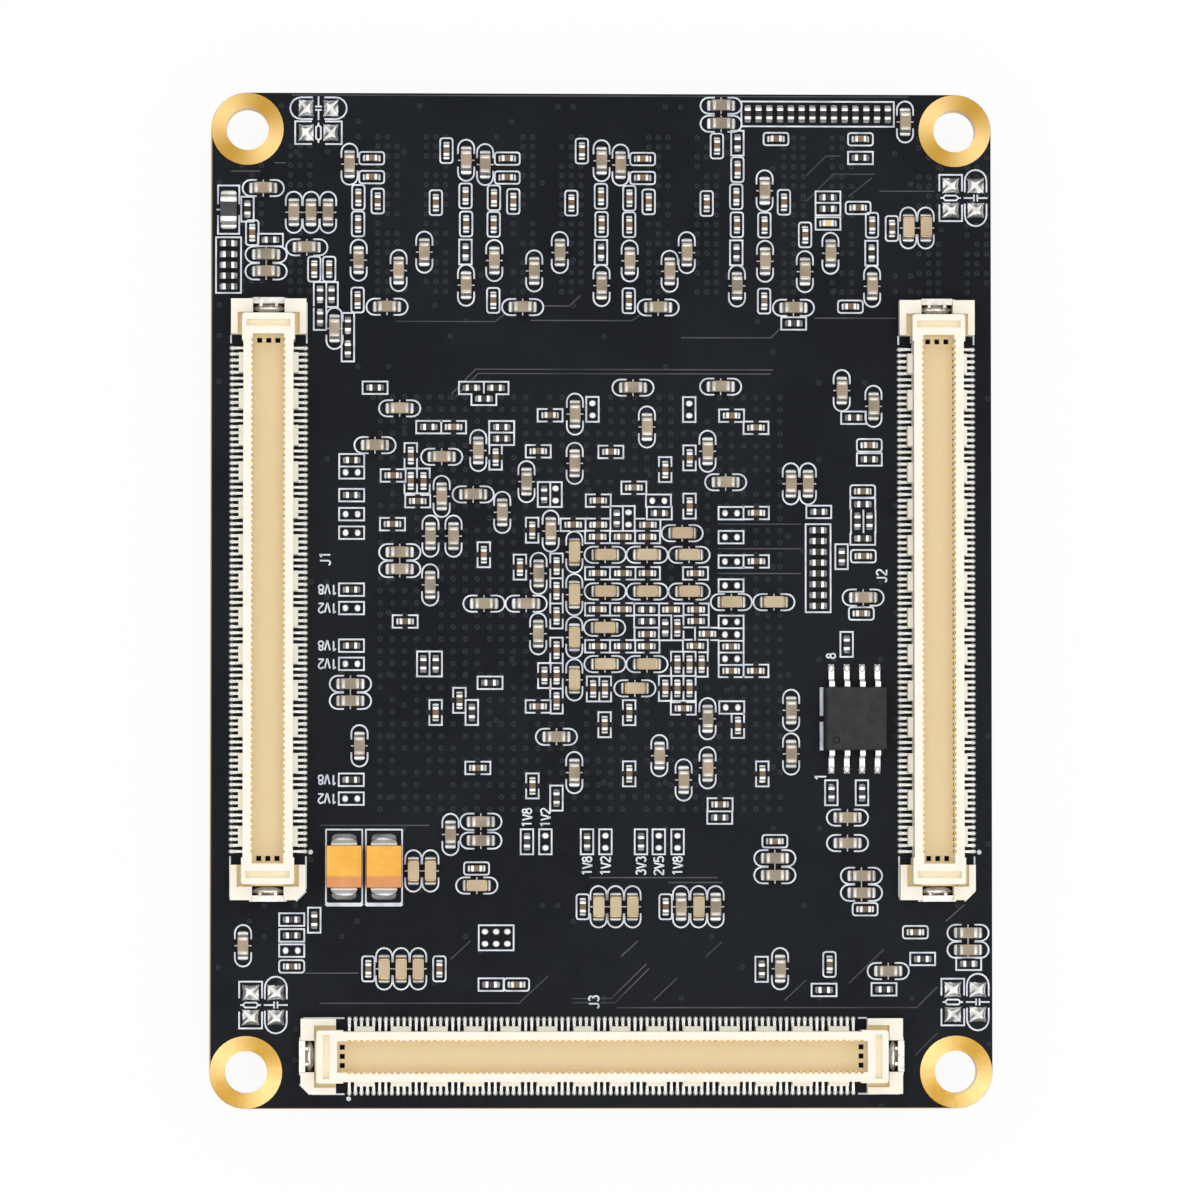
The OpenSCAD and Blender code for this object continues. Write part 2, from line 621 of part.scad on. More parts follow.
// Strip clipped over the end wall, with two tongues in the pocket and a foot soldered to the board
module hold_down() {
    clip_width = pocket_width - 2 * contact_clearance;
    inner = housing_end - end_wall;
    clip_top = clip_seat + clip_thickness;
    tongue_reach = (pocket_length - clip_thickness) * 0.3;
    color([0.8, 0.8, 0.78])
    difference() {
        union() {
            translate([-clip_width / 2, inner - clip_thickness, clip_leg_end])
                cube([clip_width, housing_end + 2 * clip_thickness - inner, clip_top - clip_leg_end]);
            translate([-clip_foot_width / 2, housing_end, 0])
                cube([clip_foot_width, clip_thickness, clip_leg_end + clip_thickness]);
            for (side = [-1, 1])
                translate([side * clip_width / 4, inner - (clip_thickness + tongue_reach) / 2,
                        clip_seat - clip_thickness])
                    standing_block([clip_thickness * 2, clip_thickness + tongue_reach, clip_thickness]);
        }
        translate([-clip_foot_width, inner, -cut])
            cube([2 * clip_foot_width, end_wall, clip_seat + cut]);
    }
}

module connector_hold_downs() {
    both_ends() hold_down();
}

module left_connector_housing() { at_left() connector_housing(); }
module left_connector_contacts() { at_left() connector_contacts(); }
module left_connector_hold_downs() { at_left() connector_hold_downs(); }
module right_connector_housing() { at_right() connector_housing(); }
module right_connector_contacts() { at_right() connector_contacts(); }
module right_connector_hold_downs() { at_right() connector_hold_downs(); }
module lower_connector_housing() { at_lower() connector_housing(); }
module lower_connector_contacts() { at_lower() connector_contacts(); }
module lower_connector_hold_downs() { at_lower() connector_hold_downs(); }

// Chip parts, drawn along X about their own centre: a body between two soldered metal ends

module chip_body(size, band) {
    body = [size[0] - 2 * band, size[1] - 2 * band_step, size[2] - band_step - body_lift];
    translate([0, 0, body_lift]) standing_block(body);
}

module chip_ends(size, band, toe) {
    inner = size[0] / 2 - band;
    outer = size[0] / 2;
    for (side = [0, 1]) mirror([side, 0, 0])
        run_along_y(size[1])
            polygon([[inner, 0], [outer + toe, 0], [outer, size[2] * 0.6], [outer, size[2]],
                [inner, size[2]]]);
}

module capacitors_0603() {
    color([0.66, 0.58, 0.5])
    spread_on_top(capacitors_0603_along_x, capacitors_0603_along_y) chip_body(chip_0603, band_0603);
}

module capacitor_0603_ends() {
    color([0.8, 0.79, 0.77])
    spread_on_top(capacitors_0603_along_x, capacitors_0603_along_y) chip_ends(chip_0603, band_0603, toe_0603);
}

module bulk_capacitors() {
    color([0.78, 0.67, 0.5])
    spread_on_top(bulk_capacitors_along_x, bulk_capacitors_along_y) chip_body(bulk_0603, band_bulk);
}

module bulk_capacitor_ends() {
    color([0.8, 0.79, 0.77])
    spread_on_top(bulk_capacitors_along_x, bulk_capacitors_along_y) chip_ends(bulk_0603, band_bulk, toe_bulk);
}

module memory_capacitors() {
    color([0.5, 0.38, 0.3])
    spread_on_top(memory_capacitors_along_x, memory_capacitors_along_y) chip_body(chip_0402, band_0402);
}

module memory_capacitor_ends() {
    color([0.85, 0.84, 0.82])
    spread_on_top(memory_capacitors_along_x, memory_capacitors_along_y)
        chip_ends(chip_0402, band_0402, toe_0402);
}

module processor_capacitors() {
    color([0.48, 0.38, 0.28])
    spread_on_top(processor_capacitors_along_x, processor_capacitors_along_y) chip_body(chip_0402, band_0402);
}

module processor_capacitor_ends() {
    color([0.85, 0.84, 0.82])
    spread_on_top(processor_capacitors_along_x, processor_capacitors_along_y)
        chip_ends(chip_0402, band_0402, toe_0402);
}

module resistors() {
    color([0.14, 0.13, 0.12])
    spread_on_top(resistors_along_x, resistors_along_y) chip_body(resistor_0402, band_0402);
}

module resistor_ends() {
    color([0.85, 0.84, 0.82])
    spread_on_top(resistors_along_x, resistors_along_y) chip_ends(resistor_0402, band_0402, toe_0402);
}

module resistor_rows() {
    color([0.14, 0.13, 0.12])
    spread_on_top(resistor_rows_along_x, resistor_rows_along_y) chip_body(resistor_0402, band_0402);
}

module resistor_row_ends() {
    color([0.85, 0.84, 0.82])
    spread_on_top(resistor_rows_along_x, resistor_rows_along_y) chip_ends(resistor_0402, band_0402, toe_0402);
}

module chip_inductor() {
    color([0.9, 0.76, 0.5])
    spread_on_top([chip_inductor_place], []) chip_body(chip_0402, band_0402);
}

module chip_inductor_ends() {
    color([0.85, 0.84, 0.82])
    spread_on_top([chip_inductor_place], []) chip_ends(chip_0402, band_0402, toe_0402);
}

module ferrite_bead() {
    color([0.2, 0.2, 0.2])
    spread_on_top([], [ferrite_bead_place]) chip_body(bead_0805, band_0805);
}

module ferrite_bead_ends() {
    color([0.8, 0.79, 0.77])
    spread_on_top([], [ferrite_bead_place]) chip_ends(bead_0805, band_0805, toe_0805);
}

// Moulded parts: a body with draft above and below its parting band

module moulded_profile(width, low, high, draft, parting, band) {
    half = width / 2;
    polygon([[half - draft, low], [half, parting - band / 2], [half, parting + band / 2],
        [half - draft, high], [draft - half, high], [-half, parting + band / 2],
        [-half, parting - band / 2], [draft - half, low]]);
}

module moulded_body(length, width, low, high, draft, parting, band) {
    intersection() {
        run_along_y(width) moulded_profile(length, low, high, draft, parting, band);
        rotate(90) run_along_y(length) moulded_profile(width, low, high, draft, parting, band);
    }
}

module tantalum_capacitors() {
    color([0.95, 0.68, 0.27])
    spread_on_top([], tantalum_places)
        moulded_body(tantalum_length, tantalum_width, body_lift, tantalum_height, tantalum_draft,
            tantalum_parting, lead_thickness);
}

// Strip that leaves the body at its parting band and turns down into the solder
module tantalum_ends() {
    half = tantalum_length / 2;
    top = tantalum_parting + lead_thickness / 2;
    color([0.78, 0.78, 0.76])
    spread_on_top([], tantalum_places)
        for (side = [0, 1]) mirror([side, 0, 0])
            run_along_y(tantalum_end_width)
                polygon([[half, 0], [half + tantalum_toe, 0], [half + tantalum_toe * 0.55, lead_thickness],
                    [half + lead_thickness, top - lead_thickness], [half + lead_thickness, top],
                    [half, top]]);
}

module flash_chip() {
    bevel = 2 * flash_draft;
    color([0.2, 0.2, 0.2])
    spread_on_top([flash_place], [])
        difference() {
            moulded_body(flash_length, flash_width, flash_lift, flash_height, flash_draft,
                flash_parting, lead_thickness);
            translate([flash_draft - flash_length / 2, 0, flash_height])
                rotate([0, 45, 0]) translate([0, 0, -bevel / 2])
                    standing_block([bevel, flash_width + 2 * cut, bevel]);
            translate([dimple_diameter * 1.7 - flash_length / 2, dimple_diameter * 1.4 - flash_width / 2,
                    flash_height - lead_thickness / 2])
                cylinder(d = dimple_diameter, h = lead_thickness);
        }
}

// Gull-wing lead with the solder at its toe
module flash_chip_leads() {
    half = flash_width / 2;
    toe = lead_span / 2;
    high = flash_parting + lead_thickness / 2;
    low = flash_parting - lead_thickness / 2;
    color([0.82, 0.82, 0.8])
    spread_on_top([flash_place], [])
        for (side = [-1, 1], k = [-1.5 : 1.5])
            translate([k * lead_pitch, 0, 0]) rotate(side * 90)
                run_along_y(lead_width)
                    polygon([[half, low], [half, high], [half + 2 * lead_thickness, high],
                        [half + 3.2 * lead_thickness, lead_thickness], [toe, lead_thickness],
                        [toe + lead_solder, 0], [half + 2.2 * lead_thickness, 0],
                        [half + lead_thickness, low]]);
}

// Bare pads: solder drawn up to a low hipped pillow

module arch(span, rise) {
    half = span / 2;
    polygon([[-half, 0], [half, 0], [half * 0.65, rise * 0.6], [half * 0.25, rise],
        [-half * 0.25, rise], [-half * 0.65, rise * 0.6]]);
}

module solder_pillow(length, width, rise) {
    intersection() {
        run_along_y(width) arch(length, rise);
        rotate(90) run_along_y(length) arch(width, rise);
    }
}

module bare_pads_0402() {
    color([0.85, 0.85, 0.84])
    spread_on_top(bare_0402_along_x, bare_0402_along_y)
        for (side = [-1, 1])
            translate([side * pad_0402_spacing / 2, 0, 0])
                solder_pillow(pad_0402_length, pad_0402_width, solder_rise_0402);
}

module bare_pads_0805() {
    color([0.8, 0.8, 0.79])
    on_top(bare_0805_along_x, bare_0805_along_y)
        for (side = [-1, 1])
            translate([side * pad_0805_spacing / 2, 0, 0])
                solder_pillow(pad_0805_length, pad_0805_width, solder_rise_0805);
}

// The hidden side

module under(places) {
    for (place = places) translate([spread(place)[0], spread(place)[1], board_bottom]) children();
}

// A solder ball flattened between the two faces that it joins
module solder_ball(diameter, height) {
    translate([0, 0, -height / 2]) intersection() {
        sphere(d = diameter);
        cube([2 * diameter, 2 * diameter, height], center = true);
    }
}

// The outer ring of a grid of balls: the only ones that can be seen under a chip
module ball_ring(columns, rows, pitch, diameter, height) {
    for (column = [0 : columns - 1], row = [0 : rows - 1])
        if (column == 0 || row == 0 || column == columns - 1 || row == rows - 1)
            translate([(column - (columns - 1) / 2) * pitch, (row - (rows - 1) / 2) * pitch, 0])
                solder_ball(diameter, height);
}

module processor_substrate() {
    color([0.16, 0.3, 0.2])
    under([processor_place])
        translate([0, 0, -processor_ball_height - substrate_thickness])
            standing_block([processor_side, processor_side, substrate_thickness]);
}

module processor_lid() {
    color([0.75, 0.75, 0.74])
    under([processor_place]) translate([0, 0, -board_bottom]) {
        linear_extrude(lid_face_rise + lid_brim_thickness)
            rounded_rectangle([lid_face_side, lid_face_side], lid_radius);
        translate([0, 0, lid_face_rise]) linear_extrude(lid_brim_thickness)
            rounded_rectangle([lid_side, lid_side], lid_radius);
    }
}

module processor_solder_balls() {
    color([0.75, 0.75, 0.75])
    under([processor_place])
        ball_ring(processor_balls_per_edge, processor_balls_per_edge, processor_ball_pitch,
            processor_ball_diameter, processor_ball_height);
}

module memory_chips() {
    color([0.12, 0.12, 0.12])
    under(memory_places)
        translate([0, 0, -memory_ball_height - memory_thickness])
            standing_block([memory_width, memory_length, memory_thickness]);
}

module memory_solder_balls() {
    color([0.75, 0.75, 0.75])
    under(memory_places)
        ball_ring(memory_ball_columns, memory_ball_rows, memory_ball_pitch,
            memory_ball_diameter, memory_ball_height);
}

// Moulded block with a bevel round its outer face
module power_modules() {
    body_height = power_height - land_thickness;
    color([0.13, 0.13, 0.13])
    under(power_places)
        translate([0, 0, -power_height])
            moulded_body(power_length, power_width, 0, body_height, power_bevel,
                body_height / 2 + power_bevel / 2, body_height - power_bevel);
}

// Rows of lands along the two longer sides and a wide one between them
module power_module_lands() {
    land_step = power_length / 5;
    color([0.8, 0.78, 0.7])
    under(power_places) translate([0, 0, -land_thickness]) {
        for (side = [-1, 1], k = [-1.5 : 1.5])
            translate([k * land_step, side * (power_width / 2 - land_step / 2), 0])
                standing_block([land_step / 2, land_step / 2, land_thickness]);
        standing_block([power_length * 0.6, power_width * 0.35, land_thickness]);
    }
}

module clock_oscillator() {
    color([0.2, 0.18, 0.16])
    under([clock_place])
        translate([0, 0, -land_thickness - clock_base_height])
            standing_block([clock_length, clock_width, clock_base_height]);
}

module clock_oscillator_lid() {
    color([0.82, 0.8, 0.72])
    under([clock_place])
        translate([0, 0, -land_thickness - clock_base_height - clock_lid_height])
            linear_extrude(clock_lid_height)
                rounded_rectangle([clock_length - 2 * clock_rim, clock_width - 2 * clock_rim], 2 * clock_rim);
}

module clock_oscillator_lands() {
    land = clock_width / 3;
    color([0.8, 0.78, 0.7])
    under([clock_place]) translate([0, 0, -land_thickness])
        for (x = [-1, 1], y = [-1, 1])
            translate([x * (clock_length - land) / 2, y * (clock_width - land) / 2, 0])
                standing_block([land, land, land_thickness]);
}

board();
mounting_hole_plating();
left_connector_housing();
left_connector_contacts();
left_connector_hold_downs();
right_connector_housing();
right_connector_contacts();
right_connector_hold_downs();
lower_connector_housing();
lower_connector_contacts();
lower_connector_hold_downs();
capacitors_0603();
capacitor_0603_ends();
bulk_capacitors();
bulk_capacitor_ends();
memory_capacitors();
memory_capacitor_ends();
processor_capacitors();
processor_capacitor_ends();
resistors();
resistor_ends();
resistor_rows();
resistor_row_ends();
chip_inductor();
chip_inductor_ends();
ferrite_bead();
ferrite_bead_ends();
tantalum_capacitors();
tantalum_ends();
flash_chip();
flash_chip_leads();
bare_pads_0402();
bare_pads_0805();
processor_substrate();
processor_lid();
processor_solder_balls();
memory_chips();
memory_solder_balls();
power_modules();
power_module_lands();
clock_oscillator();
clock_oscillator_lid();
clock_oscillator_lands();
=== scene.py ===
import itertools

import bpy
import numpy as np
from mathutils import Matrix, Vector


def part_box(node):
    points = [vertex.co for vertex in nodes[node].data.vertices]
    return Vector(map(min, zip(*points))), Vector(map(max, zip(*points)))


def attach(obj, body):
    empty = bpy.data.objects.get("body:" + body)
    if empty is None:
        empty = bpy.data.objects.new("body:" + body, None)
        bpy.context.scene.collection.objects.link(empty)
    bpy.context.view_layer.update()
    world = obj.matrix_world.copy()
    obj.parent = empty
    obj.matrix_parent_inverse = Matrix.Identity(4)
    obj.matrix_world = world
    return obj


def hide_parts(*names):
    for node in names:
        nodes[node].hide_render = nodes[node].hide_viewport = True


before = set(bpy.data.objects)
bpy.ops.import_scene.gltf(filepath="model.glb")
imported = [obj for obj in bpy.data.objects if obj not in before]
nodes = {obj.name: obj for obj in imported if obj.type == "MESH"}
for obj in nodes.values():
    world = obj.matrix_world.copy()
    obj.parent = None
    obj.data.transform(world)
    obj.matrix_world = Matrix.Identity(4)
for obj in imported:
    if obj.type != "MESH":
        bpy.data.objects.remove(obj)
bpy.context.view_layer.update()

# The view: the module lies on a white table with its connectors up, inside a ring of soft light. The
# camera hangs over the lower left of the board, in the dark middle of the ring, and looks almost
# straight down.
mm = 0.001
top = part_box("board")[1].z
scene = bpy.context.scene
scene.view_settings.view_transform = "Standard"

frame_width = 99.02 * mm
aim = Vector((-0.128 * mm, -0.008 * mm, top))
camera_place = Vector((-20 * mm, -24 * mm, top + 610 * mm))
forward = (aim - camera_place).normalized()
sideways = forward.cross(Vector((0, 1, 0))).normalized()
upward = sideways.cross(forward)
camera_data = bpy.data.cameras.new("camera")
camera_data.lens = camera_data.sensor_width * (aim - camera_place).length / frame_width
camera = bpy.data.objects.new("camera", camera_data)
camera.matrix_world = (
    Matrix.Translation(camera_place) @ Matrix((sideways, upward, -forward)).transposed().to_4x4()
)
scene.collection.objects.link(camera)
scene.camera = camera


def add_node(place, kind, **settings):
    """A new shader node with its settings, in a tree or beside a node or socket that is in it."""
    node = place.id_data.nodes.new(kind)
    for name, value in settings.items():
        setattr(node, name, value)
    return node


def feed(source, socket):
    """Puts a number, a colour or another node's output into an input socket."""
    if isinstance(source, bpy.types.NodeSocket):
        socket.id_data.links.new(source, socket)
    else:
        socket.default_value = source


def math_of(operation, *values):
    """Output of a Math node that joins the values, in the tree of the first one that is an output."""
    place = next(value for value in values if isinstance(value, bpy.types.NodeSocket))
    node = add_node(place, "ShaderNodeMath", operation=operation)
    for socket, value in zip(node.inputs, values):
        feed(value, socket)
    return node.outputs[0]


def ramp_between(value, low, high, to_low=0.0, to_high=1.0):
    """Output that goes from to_low to to_high while the value goes from low to high."""
    node = add_node(value, "ShaderNodeMapRange", clamp=True)
    for socket, number in zip(node.inputs, (value, low, high, to_low, to_high)):
        feed(number, socket)
    return node.outputs[0]


world = bpy.data.worlds.new("soft_box")
scene.world = world
world.use_nodes = True
sky = world.node_tree
sky_direction = add_node(sky, "ShaderNodeTexCoord").outputs["Generated"]
sky_height = add_node(sky, "ShaderNodeSeparateXYZ")
feed(sky_direction, sky_height.inputs[0])
sky_background = sky.nodes["Background"]
feed((1, 1, 1, 1), sky_background.inputs["Color"])
ring_rise = ramp_between(sky_height.outputs["Z"], 0.42, 0.62, 0.06, 1.28)
ring_middle = ramp_between(sky_height.outputs["Z"], 0.92, 0.98, 1.0, 0.78)
feed(math_of("MULTIPLY", ring_rise, ring_middle), sky_background.inputs["Strength"])

lamp_data = bpy.data.lights.new("key_light", "AREA")
lamp_data.size = 0.45
lamp_data.energy = 0.9
lamp = bpy.data.objects.new("key_light", lamp_data)
lamp.location = (0.05, -0.16, 0.86)
lamp.rotation_euler = (aim - lamp.location).to_track_quat("-Z", "Y").to_euler()
scene.collection.objects.link(lamp)

table_mesh = bpy.data.meshes.new("table")
table_half = 3.0
table_corners = [(x * table_half, y * table_half, 0.0) for x, y in ((-1, -1), (1, -1), (1, 1), (-1, 1))]
table_mesh.from_pydata(table_corners, [], [[0, 1, 2, 3]])
table = bpy.data.objects.new("table", table_mesh)
scene.collection.objects.link(table)
table_white = bpy.data.materials.new("table_white")
table_white.use_nodes = True
table_tree = table_white.node_tree
table_tree.nodes.clear()
table_output = add_node(table_tree, "ShaderNodeOutputMaterial")
table_mix = add_node(table_tree, "ShaderNodeMixShader")
table_paint = add_node(table_tree, "ShaderNodeBsdfDiffuse")
table_tone = 0.93
glow_share = 0.93
feed((table_tone, table_tone, table_tone, 1), table_paint.inputs["Color"])
table_glow = add_node(table_tree, "ShaderNodeEmission")
ray = add_node(table_tree, "ShaderNodeLightPath").outputs
seen = math_of("MAXIMUM", ray["Is Camera Ray"], ray["Is Glossy Ray"])
seen = math_of("MAXIMUM", seen, ray["Is Transmission Ray"])
feed(math_of("MULTIPLY", seen, glow_share), table_mix.inputs["Fac"])
feed(table_paint.outputs[0], table_mix.inputs[1])
feed(table_glow.outputs[0], table_mix.inputs[2])
feed(table_mix.outputs[0], table_output.inputs["Surface"])
table_mesh.materials.append(table_white)

# The board: glass-fibre laminate with copper inside and a black solder mask on both faces. Its cut
# edges show the tan laminate and the copper layers, and tented vias show as faint rings.


def ink(red, green, blue):
    """Linear colour of an 8-bit display colour."""
    share = np.array([red, green, blue]) / 255
    linear = np.where(share <= 0.04045, share / 12.92, ((share + 0.055) / 1.055) ** 2.4)
    return (*linear.tolist(), 1.0)


def new_group(name, inputs, outputs):
    """A shader node group with named number inputs and outputs."""
    group = bpy.data.node_groups.new(name, "ShaderNodeTree")
    for name, value in inputs.items():
        socket = group.interface.new_socket(name, in_out="INPUT", socket_type="NodeSocketFloat")
        socket.default_value = value
    for name in outputs:
        group.interface.new_socket(name, in_out="OUTPUT", socket_type="NodeSocketFloat")
    return group, add_node(group, "NodeGroupInput").outputs, add_node(group, "NodeGroupOutput").inputs


def place_group(place, group, **values):
    """The outputs of a group placed in a material with its own values."""
    node = add_node(place, "ShaderNodeGroup", node_tree=group)
    for name, value in values.items():
        feed(value, node.inputs[name])
    return node.outputs


def blend_of(factor, first, second):
    """Colour between two colours. The factor or the first colour is a node's output."""
    source = factor if isinstance(factor, bpy.types.NodeSocket) else first
    node = add_node(source, "ShaderNodeMix", data_type="RGBA")
    for socket, value in (("Factor", factor), ("A", first), ("B", second)):
        feed(value, node.inputs[socket])
    return node.outputs["Result"]


def paint(shader, colour, rough, fine):
    """Feeds a colour into a shader, and a roughness that follows a grain between two values."""
    feed(colour, shader.inputs["Base Color"])
    feed(ramp_between(fine, 0, 1, *rough), shader.inputs["Roughness"])


def raise_surface(shader, height, strength, distance):
    """Bump from a height, into the shader's normal."""
    bump = add_node(shader, "ShaderNodeBump")
    for socket, value in (("Strength", strength), ("Distance", distance), ("Height", height)):
        feed(value, bump.inputs[socket])
    feed(bump.outputs[0], shader.inputs["Normal"])


def object_xyz(place):
    """X, Y and Z of the object's own coordinates."""
    node = add_node(place, "ShaderNodeSeparateXYZ")
    feed(add_node(place, "ShaderNodeTexCoord").outputs["Object"], node.inputs[0])
    return node.outputs


def facing_up(place):
    """One on faces that look up or down, nought on upright ones."""
    normal = add_node(place, "ShaderNodeSeparateXYZ")
    feed(add_node(place, "ShaderNodeNewGeometry").outputs["Normal"], normal.inputs[0])
    return math_of("GREATER_THAN", math_of("ABSOLUTE", normal.outputs["Z"]), 0.5)


# Soft and fine grain, shared by every finish: two noises of one scale, one twelve times finer
grain, grain_in, grain_out = new_group("grain", {"Scale": 1000.0}, ("Tone", "Fine"))
grain_place = add_node(grain, "ShaderNodeTexCoord").outputs["Object"]
for socket, times, detail in (("Tone", 1.0, 2.0), ("Fine", 12.0, 1.0)):
    noise = add_node(grain, "ShaderNodeTexNoise")
    feed(grain_place, noise.inputs["Vector"])
    feed(math_of("MULTIPLY", grain_in["Scale"], times), noise.inputs["Scale"])
    feed(detail, noise.inputs["Detail"])
    feed(ramp_between(noise.outputs["Fac"], 0.3, 0.7), grain_out[socket])


def new_finish(name, scale, metallic=0.0, specular=0.5):
    """A material with one Principled shader, returned with its shader and the outputs of its grain."""
    finish = bpy.data.materials.new(name)
    finish.use_nodes = True
    shader = finish.node_tree.nodes["Principled BSDF"]
    feed(metallic, shader.inputs["Metallic"])
    feed(specular, shader.inputs["Specular IOR Level"])
    return finish, shader, place_group(shader, grain, Scale=scale)


def grain_finish(name, scale, dark, light, rough, bump, depth=0.01, raised="Fine", **shine):
    """A finish whose grain drifts between two tones and two roughnesses, and raises it a little."""
    finish, shader, tone = new_finish(name, scale, **shine)
    paint(shader, blend_of(tone["Tone"], ink(*dark), ink(*light)), rough, tone["Fine"])
    raise_surface(shader, tone[raised], bump, depth * mm)
    return finish


def away_from(coordinate, middle):
    """Distance of a coordinate from a middle."""
    return math_of("ABSOLUTE", math_of("SUBTRACT", coordinate, middle))


def within(coordinate, middle, half):
    """One where a coordinate lies within half of the middle."""
    return math_of("LESS_THAN", away_from(coordinate, middle), half)


def distance_of(x, y):
    """Length of a step from its two parts."""
    return math_of("SQRT", math_of("ADD", math_of("MULTIPLY", x, x), math_of("MULTIPLY", y, y)))


# Rings on a square grid, with a share of the grid's places left empty
vias, via_in, via_out = new_group(
    "tented_vias", {"Pitch": 0.001, "Shift": 0.00075, "Share": 0.5}, ("Ring",)
)
via_xyz = object_xyz(vias)
via_cell = add_node(vias, "ShaderNodeCombineXYZ")
via_offsets = []
for axis in ("X", "Y"):
    step = math_of("SUBTRACT", via_xyz[axis], via_in["Shift"])
    step = math_of("DIVIDE", step, via_in["Pitch"])
    nearest = math_of("ROUND", step)
    feed(nearest, via_cell.inputs[axis])
    via_offsets.append(math_of("MULTIPLY", math_of("SUBTRACT", step, nearest), via_in["Pitch"]))
via_ring = away_from(distance_of(*via_offsets), 0.15 * mm)
via_ring = ramp_between(via_ring, 0.03 * mm, 0.1 * mm, 1.0, 0.0)
via_draw = add_node(vias, "ShaderNodeTexWhiteNoise", noise_dimensions="2D")
feed(via_cell.outputs[0], via_draw.inputs["Vector"])
via_kept = math_of("LESS_THAN", via_draw.outputs["Value"], via_in["Share"])
feed(math_of("MULTIPLY", via_ring, via_kept), via_out["Ring"])

mask_finish, mask_shader, mask_grain = new_finish("black_solder_mask", 90.0, specular=0.07)
mask_xyz = object_xyz(mask_shader)
processor_vias = place_group(mask_shader, vias, Pitch=1.0 * mm, Shift=0.75 * mm, Share=0.9)["Ring"]
processor_columns = within(mask_xyz["X"], -1.75 * mm, 16.8 * mm)
processor_rows = within(mask_xyz["Y"], -0.25 * mm, 17.3 * mm)
processor_area = math_of("MULTIPLY", processor_columns, processor_rows)
memory_centre = 6.7 * mm
memory_pitch = 11.2 * mm
memory_vias = place_group(mask_shader, vias, Pitch=0.8 * mm, Shift=0.7 * mm, Share=0.8)["Ring"]
memory_offset = math_of("SUBTRACT", mask_xyz["X"], memory_centre)
memory_offset = math_of("PINGPONG", memory_offset, memory_pitch / 2)
memory_columns = within(memory_offset, 2.0 * mm, 1.2 * mm)
memory_rows = within(mask_xyz["Y"], 31.8 * mm, 6.8 * mm)
memory_area = math_of("MULTIPLY", memory_columns, memory_rows)
all_vias = place_group(mask_shader, vias, Pitch=1.27 * mm, Shift=0.2 * mm, Share=0.07)["Ring"]
for rings, area in ((processor_vias, processor_area), (memory_vias, memory_area)):
    all_vias = math_of("MAXIMUM", all_vias, math_of("MULTIPLY", rings, area))
pour = ramp_between(mask_grain["Tone"], 0.35, 0.65)
mask_colour = blend_of(pour, ink(20, 23, 28), ink(25, 28, 32))
mask_colour = blend_of(math_of("MULTIPLY", all_vias, 0.36), mask_colour, ink(72, 76, 84))
board_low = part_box("board")[0]
bare_left = math_of("LESS_THAN", mask_xyz["X"], board_low.x + 0.1 * mm)
bare_front = math_of("LESS_THAN", mask_xyz["Y"], board_low.y + 0.06 * mm)
mask_colour = blend_of(math_of("MAXIMUM", bare_left, bare_front), mask_colour, ink(176, 146, 106))
layer_pitch = 0.25 * mm
layer = math_of("SINE", math_of("MULTIPLY", mask_xyz["Z"], 2 * np.pi / layer_pitch))
edge_colour = blend_of(math_of("GREATER_THAN", layer, 0.75), ink(92, 78, 52), ink(128, 90, 52))
mask_colour = blend_of(facing_up(mask_shader), edge_colour, mask_colour)
paint(mask_shader, mask_colour, (0.36, 0.5), mask_grain["Fine"])
mask_height = math_of("ADD", math_of("MULTIPLY", mask_grain["Fine"], 0.15), all_vias)
raise_surface(mask_shader, mask_height, 0.35, 0.02 * mm)


def dress(finish, *names):
    """Gives CAD nodes their finish."""
    for name in names:
        materials = nodes[name].data.materials
        materials.clear()
        materials.append(finish)


dress(mask_finish, "board")

# Copper tracks: thin strips of copper on the board's face, felt as low ridges under the solder mask.
# Each runs straight with bends of 45 degrees, alone or in pairs.


def strip(path, width, height, closed=False):
    """A flat bar along a path. Every point moves half the width to both sides along the mitre of the
    two directions that meet there, and both edges get a lower and an upper corner."""
    path = np.asarray(path, float)
    if closed:
        before = np.roll(path, 1, axis=0)
        after = np.roll(path, -1, axis=0)
    else:
        before = np.vstack([2 * path[:1] - path[1:2], path[:-1]])
        after = np.vstack([path[1:], 2 * path[-1:] - path[-2:-1]])
    arriving = (path - before) / np.linalg.norm(path - before, axis=1, keepdims=True)
    leaving = (after - path) / np.linalg.norm(after - path, axis=1, keepdims=True)
    left_in = np.stack([-arriving[:, 1], arriving[:, 0]], axis=1)
    left_out = np.stack([-leaving[:, 1], leaving[:, 0]], axis=1)
    mitre = left_in + left_out
    mitre = mitre / (mitre * left_out).sum(axis=1, keepdims=True) * width / 2
    count = len(path)
    corners = np.zeros((count, 4, 3))
    corners[:, :2, :2] = (path + mitre)[:, None]
    corners[:, 2:, :2] = (path - mitre)[:, None]
    corners[:, 1:3, 2] = height
    here = np.arange(count if closed else count - 1)
    there = (here + 1) % count
    ring = np.arange(4)
    following = (ring + 1) % 4
    sides = ((here, ring), (here, following), (there, following), (there, ring))
    faces = np.stack([4 * row[:, None] + corner for row, corner in sides], axis=2).reshape(-1, 4)
    if not closed:
        last = 4 * (count - 1)
        faces = np.vstack([faces, [[3, 2, 1, 0], [last, last + 1, last + 2, last + 3]]])
    return corners.reshape(-1, 3), faces


def joined(shapes):
    """Several meshes of four-sided faces as one: the later faces count on from the earlier corners."""
    corners, faces = zip(*shapes)
    starts = np.cumsum([0] + [len(some) for some in corners[:-1]])
    return np.vstack(corners), np.vstack([some + start for some, start in zip(faces, starts)])


